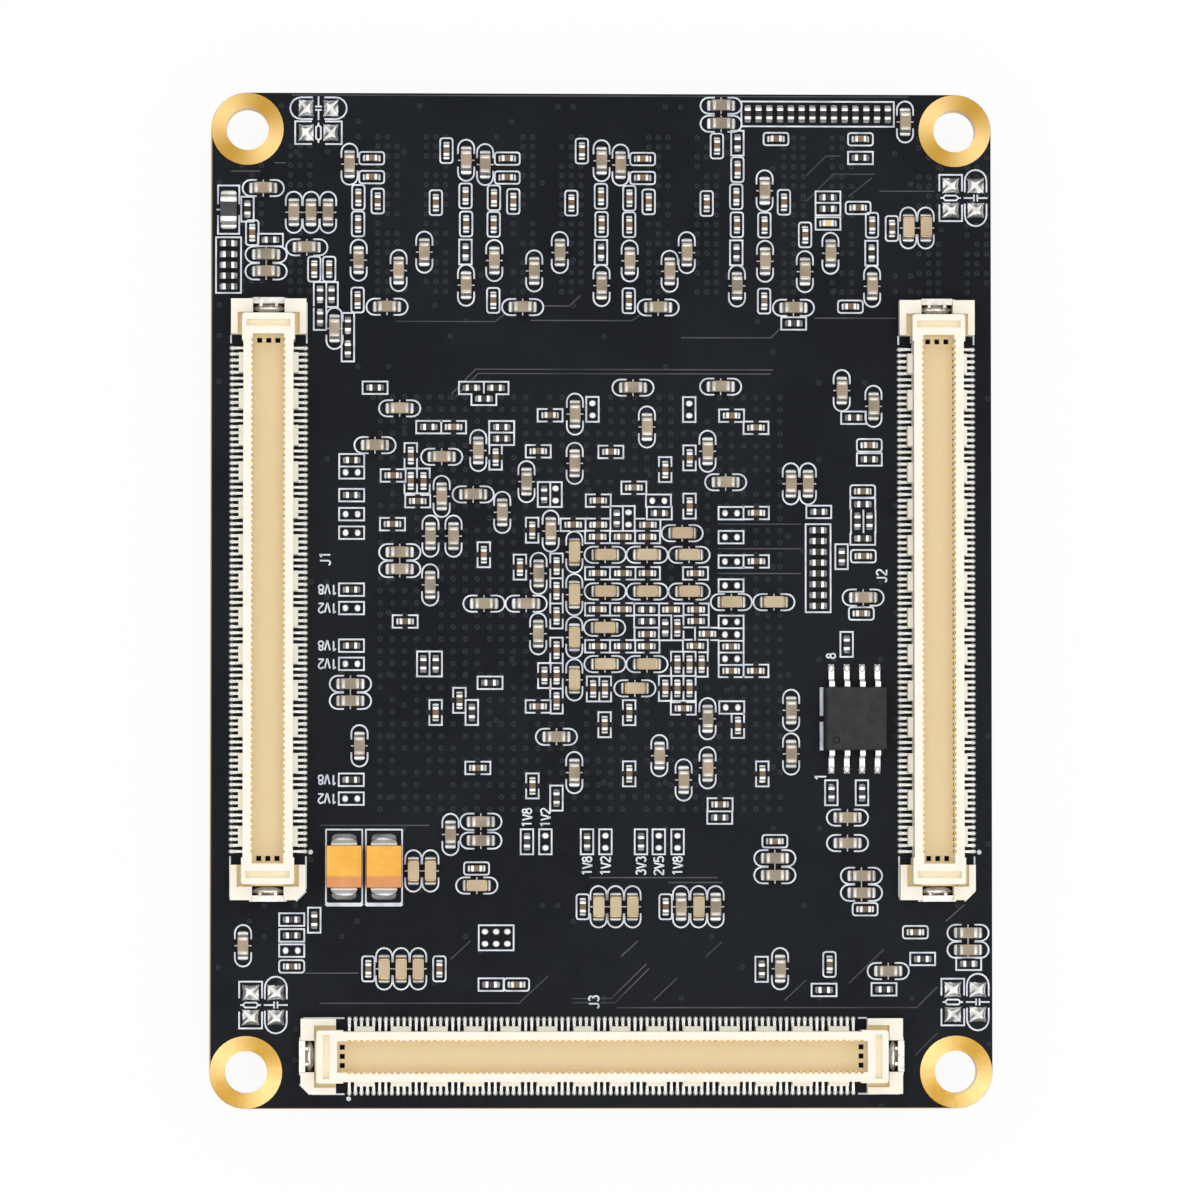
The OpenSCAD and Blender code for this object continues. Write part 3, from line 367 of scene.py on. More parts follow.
def add_piece(name, shape, finish, smooth_below=None):
    """A new piece of the module from corners, in millimetres above the board's face, and faces."""
    corners, faces = shape
    corners = corners * mm + [0, 0, top]
    mesh = bpy.data.meshes.new(name)
    mesh.from_pydata(corners.tolist(), [], faces.tolist())
    mesh.materials.append(finish)
    if smooth_below is not None:
        mesh.polygons.foreach_set("use_smooth", np.ones(len(faces), bool))
        mesh.set_sharp_from_angle(angle=smooth_below)
    mesh.update()
    piece = bpy.data.objects.new(name, mesh)
    scene.collection.objects.link(piece)
    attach(piece, "root")
    return piece


track_paths = [
    [(-12.4, 17.0), (-10.4, 19.05), (14.2, 19.05)],
    [(-12.0, 16.8), (-10.2, 18.7), (14.0, 18.7)],
    [(-17.0, 23.0), (-8.8, 23.0), (-7.9, 23.7)],
    [(-5.9, 23.1), (2.5, 23.1), (3.4, 23.7)],
    [(-4.9, 24.3), (-2.7, 24.3), (-1.7, 25.2)],
    [(6.6, 21.7), (14.0, 21.7), (14.9, 22.6)],
    [(17.6, 23.35), (24.4, 23.35)],
    [(23.0, 33.9), (27.6, 33.9)],
    [(9.6, 6.28), (16.5, 6.28)],
    [(9.6, 4.25), (16.5, 4.25)],
    [(9.6, 2.2), (16.5, 2.2)],
    [(16.9, 33.0), (19.2, 35.3), (22.6, 35.3)],
    [(17.0, 35.2), (18.6, 36.8), (19.8, 36.8)],
    [(20.4, 33.4), (22.4, 35.0)],
    [(-23.2, -18.6), (-14.2, -18.6)],
    [(-24.4, -30.75), (-20.0, -30.75)],
    [(-23.2, -33.23), (-6.8, -33.23), (-4.4, -31.0)],
    [(-2.4, -32.85), (0.8, -32.85), (3.7, -30.0)],
    [(-2.4, -33.2), (1.1, -33.2), (3.9, -30.4)],
    [(1.2, -33.6), (26.0, -33.6), (27.7, -31.9)],
    [(4.3, -33.0), (6.2, -31.2)],
    [(8.6, -29.4), (9.9, -28.2)],
    [(1.6, -29.4), (3.0, -28.1)],
    [(15.1, -33.0), (16.9, -31.3)],
    [(20.4, -31.6), (23.3, -28.8)],
    [(25.9, -37.5), (27.7, -35.7)],
    [(-12.4, -29.6), (-10.8, -28.1)],
    [(28.4, -26.5), (30.0, -25.1)],
    [(-1.0, -22.9), (9.6, -22.9)],
    [(5.5, -23.3), (10.0, -23.3)],
    [(-30.6, 35.4), (-28.2, 35.4)],
    [(-27.0, 36.1), (-26.1, 36.1)],
    [(-25.6, 41.72), (25.4, 41.72)],
]
track_shapes = [strip(path, 0.1, 0.015) for path in track_paths]
track_finish = grain_finish(
    "masked_copper", 160.0, (40, 43, 48), (84, 84, 86), (0.4, 0.4), 0.0, specular=0.25
)
add_piece("copper_tracks", joined(track_shapes), track_finish)

# Printed outlines: white ink screened onto the mask round every part, a fine raised line. Capacitors
# have a rounded outline open at the middle, 0402 parts a small box, and rows share one outline.
line_width = 0.13
line_height = 0.02
same_place = 0.1
line_levels = itertools.cycle(line_height * np.linspace(1.0, 1.3, 7))


def islands(node):
    """Lowest and highest corners of the separate solids in a node, in millimetres. Corners at one place
    count as one point, and every triangle hands its smallest label on until nothing changes."""
    mesh = nodes[node].data
    points = np.empty(3 * len(mesh.vertices), np.float32)
    mesh.vertices.foreach_get("co", points)
    points = points.reshape(-1, 3).astype(float) / mm
    mesh.calc_loop_triangles()
    triangles = np.empty(3 * len(mesh.loop_triangles), np.int32)
    mesh.loop_triangles.foreach_get("vertices", triangles)
    places, point_of = np.unique(np.round(points, 3), axis=0, return_inverse=True)
    point_of = point_of.ravel()
    triangles = point_of[triangles].reshape(-1, 3)
    labels = np.arange(len(places))
    while True:
        handed = labels.copy()
        np.minimum.at(handed, triangles.ravel(), np.repeat(labels[triangles].min(axis=1), 3))
        handed = handed[handed]
        if (handed == labels).all():
            break
        labels = handed
    kept, solid = np.unique(labels[point_of], return_inverse=True)
    low = np.full((len(kept), 3), np.inf)
    high = np.full((len(kept), 3), -np.inf)
    np.minimum.at(low, solid.ravel(), points)
    np.maximum.at(high, solid.ravel(), points)
    return low, high


def solids(node):
    """Centres of the separate solids in a node as seen from above, and their sizes."""
    low, high = islands(node)
    return ((low + high) / 2)[:, :2], high - low


def chip_places(bodies, ends):
    """Centres of the chips in a node, and whether each lies along X: its nearest metal end tells."""
    centres = solids(bodies)[0]
    away = solids(ends)[0][None] - centres[:, None]
    nearest = (away**2).sum(axis=2).argmin(axis=1)
    step = np.abs(away[np.arange(len(centres)), nearest])
    return centres, step[:, 0] > step[:, 1]


def pad_places(node, spacing):
    """Centres of pairs of pads, and whether each pair lies along X: a pad is shorter along its pair,
    and its partner is one spacing further on."""
    middle, size = solids(node)
    along_x = size[:, 0] < size[:, 1]
    onward = np.where(along_x[:, None], [[spacing, 0.0]], [[0.0, spacing]])
    reach = np.abs(middle[None] - (middle + onward)[:, None]).max(axis=2)
    paired = reach.min(axis=1) < same_place
    return (middle + onward / 2)[paired], along_x[paired]


def printed(shape, centres, along_x):
    """Copies of an outline drawn along X at every centre, turned a quarter where the part lies along Y,
    each a trace higher than the one before, because neighbours' lines cross."""
    corners, faces = shape
    turned = np.where(along_x, 0.0, 1.0)[:, None]
    straight = 1 - turned
    x = centres[:, :1] + corners[:, 0] * straight - corners[:, 1] * turned
    y = centres[:, 1:] + corners[:, 0] * turned + corners[:, 1] * straight
    copy = np.arange(len(centres))
    z = corners[:, 2] * (1 + 0.03 * (copy % 5))[:, None]
    starts = copy[:, None, None] * len(corners)
    return np.stack([x, y, z], axis=2).reshape(-1, 3), (faces + starts).reshape(-1, 4)


def ink_line(path, closed=False, width=line_width):
    """A printed line along a path, in millimetres, a trace higher than the line before it."""
    return strip(path, width, next(line_levels), closed)


def arc_points(centre, radius, start, stop, count):
    """Points on a circle between two angles."""
    angle = np.radians(np.linspace(start, stop, count))
    return np.stack([centre[0] + radius * np.cos(angle), centre[1] + radius * np.sin(angle)], axis=1)


def pill_outline(length, width, gap, tick):
    """Two half ovals that face each other across a gap, with a tick across each gap."""
    radius = width / 2
    end = length / 2 - radius
    half = np.vstack(
        [[[gap / 2, radius]], arc_points((end, 0), radius, 90, -90, 9), [[gap / 2, -radius]]]
    )
    lines = [ink_line(half), ink_line(-half)]
    for side in (-1, 1) if tick else ():
        lines.append(ink_line([(0, side * (radius - 0.3)), (0, side * (radius + 0.02))], width=0.1))
    return joined(lines)


def box_outline(length, width, gap=0.0, corner=0.0):
    """Two half boxes that face each other across a gap, or a closed box with round corners."""
    x = length / 2
    y = width / 2
    if gap:
        half = np.array([(gap / 2, y), (x, y), (x, -y), (gap / 2, -y)])
        return joined([ink_line(half), ink_line(-half)])
    turns = ((0, x - corner, y - corner), (90, corner - x, y - corner))
    turns += ((180, corner - x, corner - y), (270, x - corner, corner - y))
    corners = [arc_points(centre, corner, start, start + 90, 3) for start, *centre in turns]
    return ink_line(np.vstack(corners), closed=True)


def shared_outline(places, length, width):
    """Boxes round 0402 parts, whose neighbours share lines. Each place has its centre, whether it lies
    along X, and the gap in the middle of its long sides. A side loses that gap, the stretches inside
    another box and those beside a line that an earlier box has drawn."""
    centres, along_x, gaps = zip(*places)
    gaps = np.repeat(gaps, [len(some) for some in centres])
    centres = np.vstack(centres)
    along_x = np.concatenate(along_x)
    half = np.where(along_x[:, None], [[length, width]], [[width, length]]) / 2
    low = centres - half
    high = centres + half
    lines = []
    for own in range(len(centres)):
        near = np.flatnonzero((np.abs(centres - centres[own]) < length + width).all(axis=1))
        for axis, level in itertools.product((0, 1), ("low", "high")):
            other = 1 - axis
            line = (low if level == "low" else high)[own, other]
            cuts = []
            if gaps[own] and along_x[own] == (axis == 0):
                reach = (gaps[own] + line_width) / 2
                cuts.append((centres[own, axis] - reach, centres[own, axis] + reach))
            for box in near[near != own]:
                inside = low[box, other] + same_place < line < high[box, other] - same_place
                beside = min(abs(low[box, other] - line), abs(high[box, other] - line)) < same_place
                if inside or (beside and box < own):
                    cuts.append((low[box, axis], high[box, axis]))
            start = low[own, axis]
            stop = high[own, axis]
            for cut_start, cut_stop in sorted(cuts) + [(stop, stop)]:
                if cut_start - start > same_place and start < stop:
                    ends = np.full((2, 2), line)
                    ends[:, axis] = (start - line_width / 2, min(cut_start, stop) + line_width / 2)
                    lines.append(ink_line(ends))
                start = max(start, cut_stop)
    return joined(lines)


small_box = (2.06, 1.03)
chip_ends = {
    "capacitors_0603": "capacitor_0603_ends",
    "bulk_capacitors": "bulk_capacitor_ends",
    "memory_capacitors": "memory_capacitor_ends",
    "processor_capacitors": "processor_capacitor_ends",
    "resistors": "resistor_ends",
    "resistor_rows": "resistor_row_ends",
    "chip_inductor": "chip_inductor_ends",
    "ferrite_bead": "ferrite_bead_ends",
    "tantalum_capacitors": "tantalum_ends",
}
spots = {bodies: chip_places(bodies, ends) for bodies, ends in chip_ends.items()}
bead_box = (4.0, 1.75)
pill = (3.42, 1.34, 1.06, True)
outlines = [
    printed(pill_outline(*pill), *spots["capacitors_0603"]),
    printed(pill_outline(*pill), *spots["bulk_capacitors"]),
    printed(box_outline(*small_box, corner=0.2), *spots["memory_capacitors"]),
    printed(
        joined([box_outline(*bead_box, gap=0.9), ink_line([(0, 0.7), (0, 1.0)])]), *spots["ferrite_bead"]
    ),
    shared_outline(
        [(*spots[bodies], 0.0) for bodies in ("resistor_rows", "resistors", "chip_inductor")]
        + [(*pad_places("bare_pads_0402", 1.0), 0.0), (*spots["processor_capacitors"], 0.45)],
        *small_box,
    ),
]

# Larger bare places come in pairs: the one further right or up is drawn as a capacitor, the other as
# a resistor, each with its own symbol between the two pads.
large_centres, large_along_x = pad_places("bare_pads_0805", 2.04)
nearest_pair = 1.5
farthest_pair = 2.6
step = large_centres[:, None] - large_centres[None]
sideways_step = np.where(large_along_x[None], step[..., 1], step[..., 0])
forward_step = np.where(large_along_x[None], step[..., 0], step[..., 1])
paired = (large_along_x[:, None] == large_along_x[None]) & (np.abs(forward_step) < same_place)
outer = (paired & (nearest_pair < sideways_step) & (sideways_step < farthest_pair)).any(axis=1)
capacitor_symbol = [ink_line([(0, side * 0.16), (0, side * 0.98)]) for side in (1, -1)]
capacitor_symbol += [ink_line([(-0.28, level), (0.28, level)]) for level in (0.14, -0.14)]
resistor_symbol = [
    ink_line([(0.2, -0.45), (0.2, 0.45), (0, 0.64), (-0.2, 0.45), (-0.2, -0.45), (0, -0.64)], closed=True),
    ink_line([(0, 0.64), (0, 0.84)]),
    ink_line([(0, -0.64), (0, -0.84)]),
]
outlines += [
    printed(
        joined([pill_outline(4.67, 1.8, 0.95, False)] + capacitor_symbol),
        large_centres[outer],
        large_along_x[outer],
    ),
    printed(
        joined([box_outline(3.84, 1.88, gap=1.1)] + resistor_symbol),
        large_centres[~outer],
        large_along_x[~outer],
    ),
]

# Lines at the tantalum capacitors, the flash chip and the connector ends
loose_lines = []
slant = 0.12
for tantalum_low, tantalum_high in zip(*islands("tantalum_capacitors")):
    middle = (tantalum_low + tantalum_high) / 2
    left, right = middle[0] + np.array([-1.49, 1.49])
    upper = middle[1] + 3.05
    lower = middle[1] - 3.0
    loose_lines += [
        ink_line([(left, lower), (left, upper), (right, upper), (right, lower)]),
        ink_line(
            [(left, lower), (left + slant, lower - slant), (right - slant, lower - slant), (right, lower)],
            width=0.3,
        ),
    ]
flash_low, flash_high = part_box("flash_chip")
flash_left = flash_low.x / mm - 0.05
flash_middle = (flash_low.y + flash_high.y) / 2 / mm
for side in (-1, 1):
    loose_lines.append(
        ink_line([(flash_left, flash_middle + side * near) for near in (0.25, 2.6)], width=0.36)
    )
beside = 3.12
connectors = (("left", 0), ("right", 0), ("lower", 1))
for side_name, across in connectors:
    low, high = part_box(side_name + "_connector_housing")
    middle = np.array(((low + high) / 2)[:2]) / mm
    along = (high - low)[1 - across] / 2 / mm
    corner_lines = [
        ink_line([(beside, along - 0.2), (beside, along - 3.6)]),
        ink_line([(-beside, along - 2.9), (-beside, along - 3.6)]),
        ink_line([(beside, -along + 0.9), (beside, -along + 3.6)]),
        ink_line([(-beside, -along + 0.2), (-beside, -along + 3.6)]),
        ink_line([(2.3, -along - 0.1), (3.15, -along + 0.75)]),
        ink_line(arc_points((3.5, -along + 3.95), 0.1, 0, 300, 6), closed=True, width=0.19),
    ]
    corners, faces = joined(corner_lines)
    if across:
        corners = np.stack([corners[:, 1], -corners[:, 0], corners[:, 2]], axis=1)
    loose_lines.append((corners + [middle[0], middle[1], 0], faces))
outlines.append(joined(loose_lines))

ink_finish = grain_finish(
    "white_ink", 900.0, (196, 204, 216), (240, 244, 250), (0.6, 0.6), 0.2, specular=0.3
)
add_piece("printed_outlines", joined(outlines), ink_finish)

# Printed marks: the connector numbers, the supply voltages beside the selecting resistors and the
# chip's first and last lead, each letter a few strokes of the same white ink.


def letter_arc(centre, radius, start, stop):
    """Points of a round stroke."""
    return arc_points(centre, radius, start, stop, 8).tolist()


letters = {
    "1": [[(0.08, 0.84), (0.27, 1.0), (0.31, 1.0), (0.31, 0.0)]],
    "2": [letter_arc((0.27, 0.73), 0.27, 165, -35) + [(0.03, 0.07), (0.07, 0.0), (0.56, 0.0)]],
    "3": [letter_arc((0.25, 0.77), 0.23, 150, -75), letter_arc((0.25, 0.28), 0.28, 75, -150)],
    "5": [[(0.5, 1.0), (0.1, 1.0), (0.06, 0.56)] + letter_arc((0.25, 0.31), 0.31, 115, -145)],
    "8": [letter_arc((0.28, 0.77), 0.22, 0, 359), letter_arc((0.28, 0.28), 0.28, 0, 359)],
    "J": [[(0.44, 1.0)] + letter_arc((0.22, 0.22), 0.22, 0, -165)],
    "V": [[(0.0, 1.0), (0.26, 0.0), (0.32, 0.0), (0.58, 1.0)]],
}
letter_pitch = 0.7
voltage_height = 0.76
marks = [
    ("J1", -22.8, 3.37, 90, 0.84),
    ("J2", 23.15, 2.02, 90, 0.82),
    ("J3", -0.64, -33.12, 90, 0.82),
    ("8", 18.95, -4.6, 90, 0.74),
    ("1", 18.1, -14.6, 90, 0.9),
]
pair = ("1V8", "1V2")
marks += [
    (volts, -22.6, y, 180, voltage_height)
    for volts, y in zip(pair * 3, (0.83, -0.7, -3.8, -5.3, -14.85, -16.4))
]
marks += [(volts, x, -17.95, 90, voltage_height) for volts, x in zip(pair, (-6.15, -4.63))]
marks += [
    (volts, x, -21.92, 90, voltage_height)
    for volts, x in zip(pair + ("3V3", "2V5", "1V8"), (-1.2, 0.32, 3.25, 4.72, 6.27))
]
mark_strokes = []
for text, x, y, turn, height in marks:
    cosine = np.cos(np.radians(turn))
    sine = np.sin(np.radians(turn))
    quarter = np.array([[cosine, sine], [-sine, cosine]])
    middle = np.array([letter_pitch * (len(text) - 1) / 2 + 0.28, 0.5])
    for place, letter in enumerate(text):
        for stroke in letters[letter]:
            flat = (np.array(stroke) + [letter_pitch * place, 0] - middle) * height
            mark_strokes.append(ink_line(flat @ quarter + [x, y]))
add_piece("printed_marks", joined(mark_strokes), ink_finish)

# Plated holes: a ring on each face and a barrel between them, copper under bright gold. The turned
# sheen is painted: a painted reflection swings the ring's colour from light to dark twice on the way
# round.
gold_finish, gold_shader, gold_grain = new_finish("gold_plate", 2500.0, metallic=0.55)
gold_xyz = object_xyz(gold_shader)
hole_place = {"X": 29.25 * mm, "Y": 38.9 * mm}
from_hole = {}
for axis, place in hole_place.items():
    nearest = math_of("MULTIPLY", math_of("SIGN", gold_xyz[axis]), place)
    from_hole[axis] = math_of("SUBTRACT", gold_xyz[axis], nearest)
gold_angle = math_of("ARCTAN2", from_hole["Y"], from_hole["X"])
brightest = np.radians(-37)
gold_turn = math_of("MULTIPLY", math_of("SUBTRACT", gold_angle, brightest), 2.0)
# Painted reflection: the ring's colour goes between dark and light gold with the angle round its hole
painted_sheen_swing = ramp_between(math_of("COSINE", gold_turn), -1, 1)
gold_colour = blend_of(painted_sheen_swing, ink(184, 141, 47), ink(238, 202, 132))
paint(gold_shader, gold_colour, (0.3, 0.42), gold_grain["Tone"])
raise_surface(gold_shader, gold_grain["Fine"], 0.06, 0.01 * mm)
dress(gold_finish, "mounting_hole_plating")

# Connector housings: glass-filled cream polymer, moulded in one piece. The floors of the slot, of the
# trough round the box and of the end grooves are painted a warmer tan: painted shade in these recesses.
cream_finish, cream_shader, cream_grain = new_finish("cream_polymer", 700.0, specular=0.35)
cream_z = object_xyz(cream_shader)["Z"]
cream_colour = blend_of(cream_grain["Tone"], ink(250, 243, 225), ink(254, 249, 236))
# Painted shade: each recess floor, picked by its height, gets a warmer tan
for floor, tint in ((1.1, ink(240, 219, 174)), (0.8, ink(250, 228, 180)), (2.7, ink(249, 237, 208))):
    painted_recess_shade = within(cream_z, top + floor * mm, 0.06 * mm)
    cream_colour = blend_of(painted_recess_shade, cream_colour, tint)
paint(cream_shader, cream_colour, (0.44, 0.58), cream_grain["Fine"])
raise_surface(cream_shader, cream_grain["Fine"], 0.12, 0.02 * mm)

# Contacts: stamped copper alloy, tinned at the soldered tail and gold plated at the tip that leans
# into the slot. Solder runs along each tail and stands in a round bead at its end.
contact_finish, contact_shader, contact_grain = new_finish("plated_contact", 2200.0)
contact_z = object_xyz(contact_shader)["Z"]
tinned = ramp_between(contact_z, top + 0.3 * mm, top + 0.6 * mm, 1, 0)
tin_colour = blend_of(contact_grain["Tone"], ink(228, 225, 219), ink(253, 252, 248))
tip_colour = blend_of(contact_grain["Tone"], ink(206, 156, 74), ink(240, 198, 116))
contact_colour = blend_of(tinned, tip_colour, tin_colour)
paint(contact_shader, contact_colour, (0.25, 0.4), contact_grain["Fine"])
feed(ramp_between(tinned, 0, 1, 0.4, 0.5), contact_shader.inputs["Metallic"])


def metal_finish(name, dark, light, metallic, rough, bump):
    """Tinned or soldered metal."""
    spread = (rough - 0.09, rough + 0.09)
    return grain_finish(name, 1800.0, dark, light, spread, bump, 0.02, "Tone", metallic=metallic)


solder_finish = metal_finish("bright_solder", (196, 195, 192), (246, 245, 242), 0.9, 0.27, 0.2)
tail_finish = metal_finish("white_solder", (226, 225, 221), (255, 255, 252), 0.5, 0.3, 0.1)


def sheet_faces(rows, columns):
    """Four-sided faces between the corners of a grid that are numbered row by row."""
    i, j = np.meshgrid(np.arange(rows - 1), np.arange(columns - 1), indexing="ij")
    first = (i * columns + j).ravel()
    return np.stack([first, first + columns, first + columns + 1, first + 1], axis=1)


def closed_sheet(upper, rows, columns):
    """A solid between a sheet of corners, row by row, and the same sheet laid flat at the bottom."""
    over = sheet_faces(rows, columns)
    count = rows * columns
    rim = np.concatenate(
        [
            np.arange(rows - 1) * columns,
            count - columns + np.arange(columns - 1),
            count - 1 - np.arange(rows - 1) * columns,
            columns - 1 - np.arange(columns - 1),
        ]
    )
    beyond = np.roll(rim, -1)
    sides = np.stack([rim, rim + count, beyond + count, beyond], axis=1)
    return np.vstack([upper, upper * [1, 1, 0]]), np.vstack([over, over[:, ::-1] + count, sides])


def bead(cells):
    """A round drop on a unit square: the square is drawn in to a disc, and its height is an ellipse over
    the distance from the middle on a low rim."""
    line = np.linspace(-1, 1, cells)
    x, y = np.meshgrid(line, line, indexing="ij")
    u = x * np.sqrt(1 - y**2 / 2)
    v = y * np.sqrt(1 - x**2 / 2)
    height = 0.2 + 0.8 * np.sqrt(np.clip(1 - u**2 - v**2, 0, 1))
    return closed_sheet(np.stack([u / 2, v / 2, height], axis=2).reshape(-1, 3), cells, cells)


def dome(columns, rows, fullness):
    """A low mound on a unit square: height is one less a power of the distance from the middle along
    both sides, multiplied, and nought on the rim. Its underside is the same grid laid flat."""
    across = np.linspace(-1, 1, columns)
    onward = np.linspace(-1, 1, rows)
    x, y = np.meshgrid(across, onward, indexing="ij")
    height = (1 - np.abs(x) ** fullness) * (1 - np.abs(y) ** fullness)
    upper = np.stack([x / 2, y / 2, height], axis=2).reshape(-1, 3)
    faces = sheet_faces(columns, rows)
    return np.vstack([upper, upper * [1, 1, 0]]), np.vstack([faces, faces[:, ::-1] + columns * rows])


def steps_along(axis, signs):
    """Unit steps along X or Y with the given signs."""
    steps = np.zeros((len(signs), 2))
    steps[:, axis] = signs
    return steps


def copies(shape, starts, forwards, *size):
    """Copies of a unit shape: its X runs forward from a start by the length, its Y a quarter turn to
    the left by the width, and its Z up by the height, each one number or one for every copy."""
    lengths, widths, heights = (np.broadcast_to(value, len(starts)) for value in size)
    corners, faces = shape
    leftwards = np.stack([-forwards[:, 1], forwards[:, 0]], axis=1)
    flat = (
        starts[:, None, :2]
        + forwards[:, None] * (corners[:, 0] * lengths[:, None])[..., None]
        + leftwards[:, None] * (corners[:, 1] * widths[:, None])[..., None]
    )
    z = corners[:, 2] * heights[:, None]
    placed = np.concatenate([flat, z[..., None]], axis=2)
    offsets = np.arange(len(starts))[:, None, None] * len(corners)
    return placed.reshape(-1, 3), (faces + offsets).reshape(-1, faces.shape[1])


soft_edge = 0.9
tail_run = (0.7, 0.27, 0.2)
tail_drop = (0.5, 0.38, 0.22)
bead_shapes = []
for side_name, axis in connectors:
    dress(cream_finish, side_name + "_connector_housing")
    dress(contact_finish, side_name + "_connector_contacts")
    housing_low, housing_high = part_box(side_name + "_connector_housing")
    centre_line = (housing_low[axis] + housing_high[axis]) / 2 / mm
    contact_low, contact_high = islands(side_name + "_connector_contacts")
    contact_middle = (contact_low + contact_high) / 2
    outward = np.sign(contact_middle[:, axis] - centre_line)
    tips = contact_middle[:, :2].copy()
    tips[:, axis] = np.where(outward > 0, contact_high[:, axis], contact_low[:, axis])
    forwards = steps_along(axis, outward)
    for shape, back, size in ((dome(5, 4, 4), 0.4, tail_run), (bead(7), 0.19, tail_drop)):
        bead_shapes.append(copies(shape, tips - forwards * back, forwards, *size))
add_piece("tail_solder", joined(bead_shapes), tail_finish, soft_edge)

# Hold-downs: small tinned steel clips over each end wall of a housing, with a pool of solder in the
# pocket behind the wall that fixes them to the board.
clip_finish = metal_finish("tinned_steel", (182, 177, 168), (238, 234, 226), 0.7, 0.3, 0.1)
pool_size = (0.84, 2.5, 0.42)
pool_shapes = []
for side_name, across in connectors:
    axis = 1 - across
    dress(clip_finish, side_name + "_connector_hold_downs")
    clip_low, clip_high = islands(side_name + "_connector_hold_downs")
    pools = ((clip_low + clip_high) / 2)[:, :2]
    outward = np.sign(pools[:, axis] - pools[:, axis].mean())
    pools[:, axis] = np.where(outward > 0, clip_low[:, axis], clip_high[:, axis]) - 0.1 * outward
    pool_shapes.append(copies(bead(11), pools, steps_along(axis, outward), *pool_size))
add_piece("pocket_solder", joined(pool_shapes), solder_finish, soft_edge)

# Chip parts: fired ceramic blocks between two tinned metal caps. The solder of each cap climbs from
# its pad in a hollow curve, and the caps keep the tint of the maker's plating.


def ceramic_finish(name, scale, tones, roughness=0.42):
    """Fired ceramic whose colour drifts from chip to chip and is speckled within each."""
    darkest, middle, lightest = (ink(*tone) for tone in tones)
    finish, shader, tone = new_finish(name, scale, specular=0.4)
    speckle = place_group(shader, grain, Scale=1600.0)
    colour = blend_of(ramp_between(tone["Tone"], 0.0, 0.5), darkest, middle)
    colour = blend_of(ramp_between(tone["Tone"], 0.5, 1.0), colour, lightest)
    dull = blend_of(0.5, colour, darkest)
    colour = blend_of(ramp_between(speckle["Tone"], 0.2, 0.9, 0.0, 0.3), colour, dull)
    paint(shader, colour, (roughness - 0.08, roughness + 0.1), speckle["Fine"])
    raise_surface(shader, speckle["Fine"], 0.15, 0.01 * mm)
    return finish


def cap_finish(name, cap_dark, cap_light, cap_height):
    """Plated cap above, bright solder below."""
    finish, shader, tone = new_finish(name, 700.0, metallic=0.75)
    height = object_xyz(shader)["Z"]
    solder_colour = blend_of(tone["Tone"], ink(186, 184, 180), ink(244, 243, 240))
    cap_colour = blend_of(tone["Tone"], ink(*cap_dark), ink(*cap_light))
    on_cap = ramp_between(height, top + cap_height * 0.7 * mm, top + cap_height * 0.85 * mm)
    paint(shader, blend_of(on_cap, solder_colour, cap_colour), (0.2, 0.34), tone["Fine"])
    raise_surface(shader, tone["Tone"], 0.08, 0.02 * mm)
    return finish


def soldered_cap(band_share, toe_height):
    """Metal end of a chip in a unit box. From the body outwards its top is crowned over the cap, rounds
    over the edge, drops steeply, and runs out in the hollow curve of the solder, which narrows at its
    toe. Six lines across give it rounded sides, and its underside is flat."""
    toe = 1 - band_share
    onward = np.concatenate(
        [
            band_share * np.array([0, 0.25, 0.6, 0.82, 0.95]),
            band_share + toe * np.array([0.12, 0.36, 0.6, 0.84, 1.0]),
        ]
    )
    outer = np.array([0.5, 1.0, 0.8, 0.57, 0.1]) * toe_height + [0.5, 0, 0, 0, 0]
    height = np.concatenate([[0.97, 1.0, 1.0, 0.97, 0.88], outer])
    narrow = np.array([1, 1, 1, 1, 0.98, 0.94, 0.94, 0.94, 0.84, 0.56])
    across = np.array([-0.5, -0.43, -0.3, 0.3, 0.43, 0.5])
    lower = np.array([0.9, 0.97, 1.0, 1.0, 0.97, 0.9])
    x = np.broadcast_to(onward[:, None], (len(onward), len(across)))
    y = narrow[:, None] * across
    z = height[:, None] * lower
    upper = np.stack([x, y, z], axis=2).reshape(-1, 3)
    return closed_sheet(upper, len(onward), len(across))


def solder_ends(name, bodies, band_share, finish, toe_height):
    """Replaces the metal ends of a kind of chip: each runs outwards from its own body."""
    ends = chip_ends[bodies]
    middle, size = solids(ends)
    away = middle[:, None] - solids(bodies)[0][None]
    away = away[np.arange(len(middle)), (away**2).sum(axis=2).argmin(axis=1)]
    along_x = np.abs(away[:, 0]) > np.abs(away[:, 1])
    forwards = np.where(along_x[:, None], [[1.0, 0.0]], [[0.0, 1.0]]) * np.sign(away)
    lengths = np.where(along_x, size[:, 0], size[:, 1])
    widths = np.where(along_x, size[:, 1], size[:, 0])
    starts = middle - forwards * lengths[:, None] / 2
    shape = soldered_cap(band_share, toe_height)
    shape = copies(shape, starts, forwards, lengths, widths, size[:, 2])
    piece = add_piece(name, shape, finish, 0.75)
    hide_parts(ends)


white_cap = cap_finish("white_tin_cap", (178, 171, 159), (206, 199, 188), 0.8)
small_cap = cap_finish("small_tin_cap", (222, 218, 210), (250, 247, 242), 0.5)
resistor_cap = cap_finish("resistor_tin_cap", (222, 220, 216), (252, 251, 248), 0.36)
tan_cap = cap_finish("tan_cap", (188, 158, 112), (222, 194, 148), 0.95)

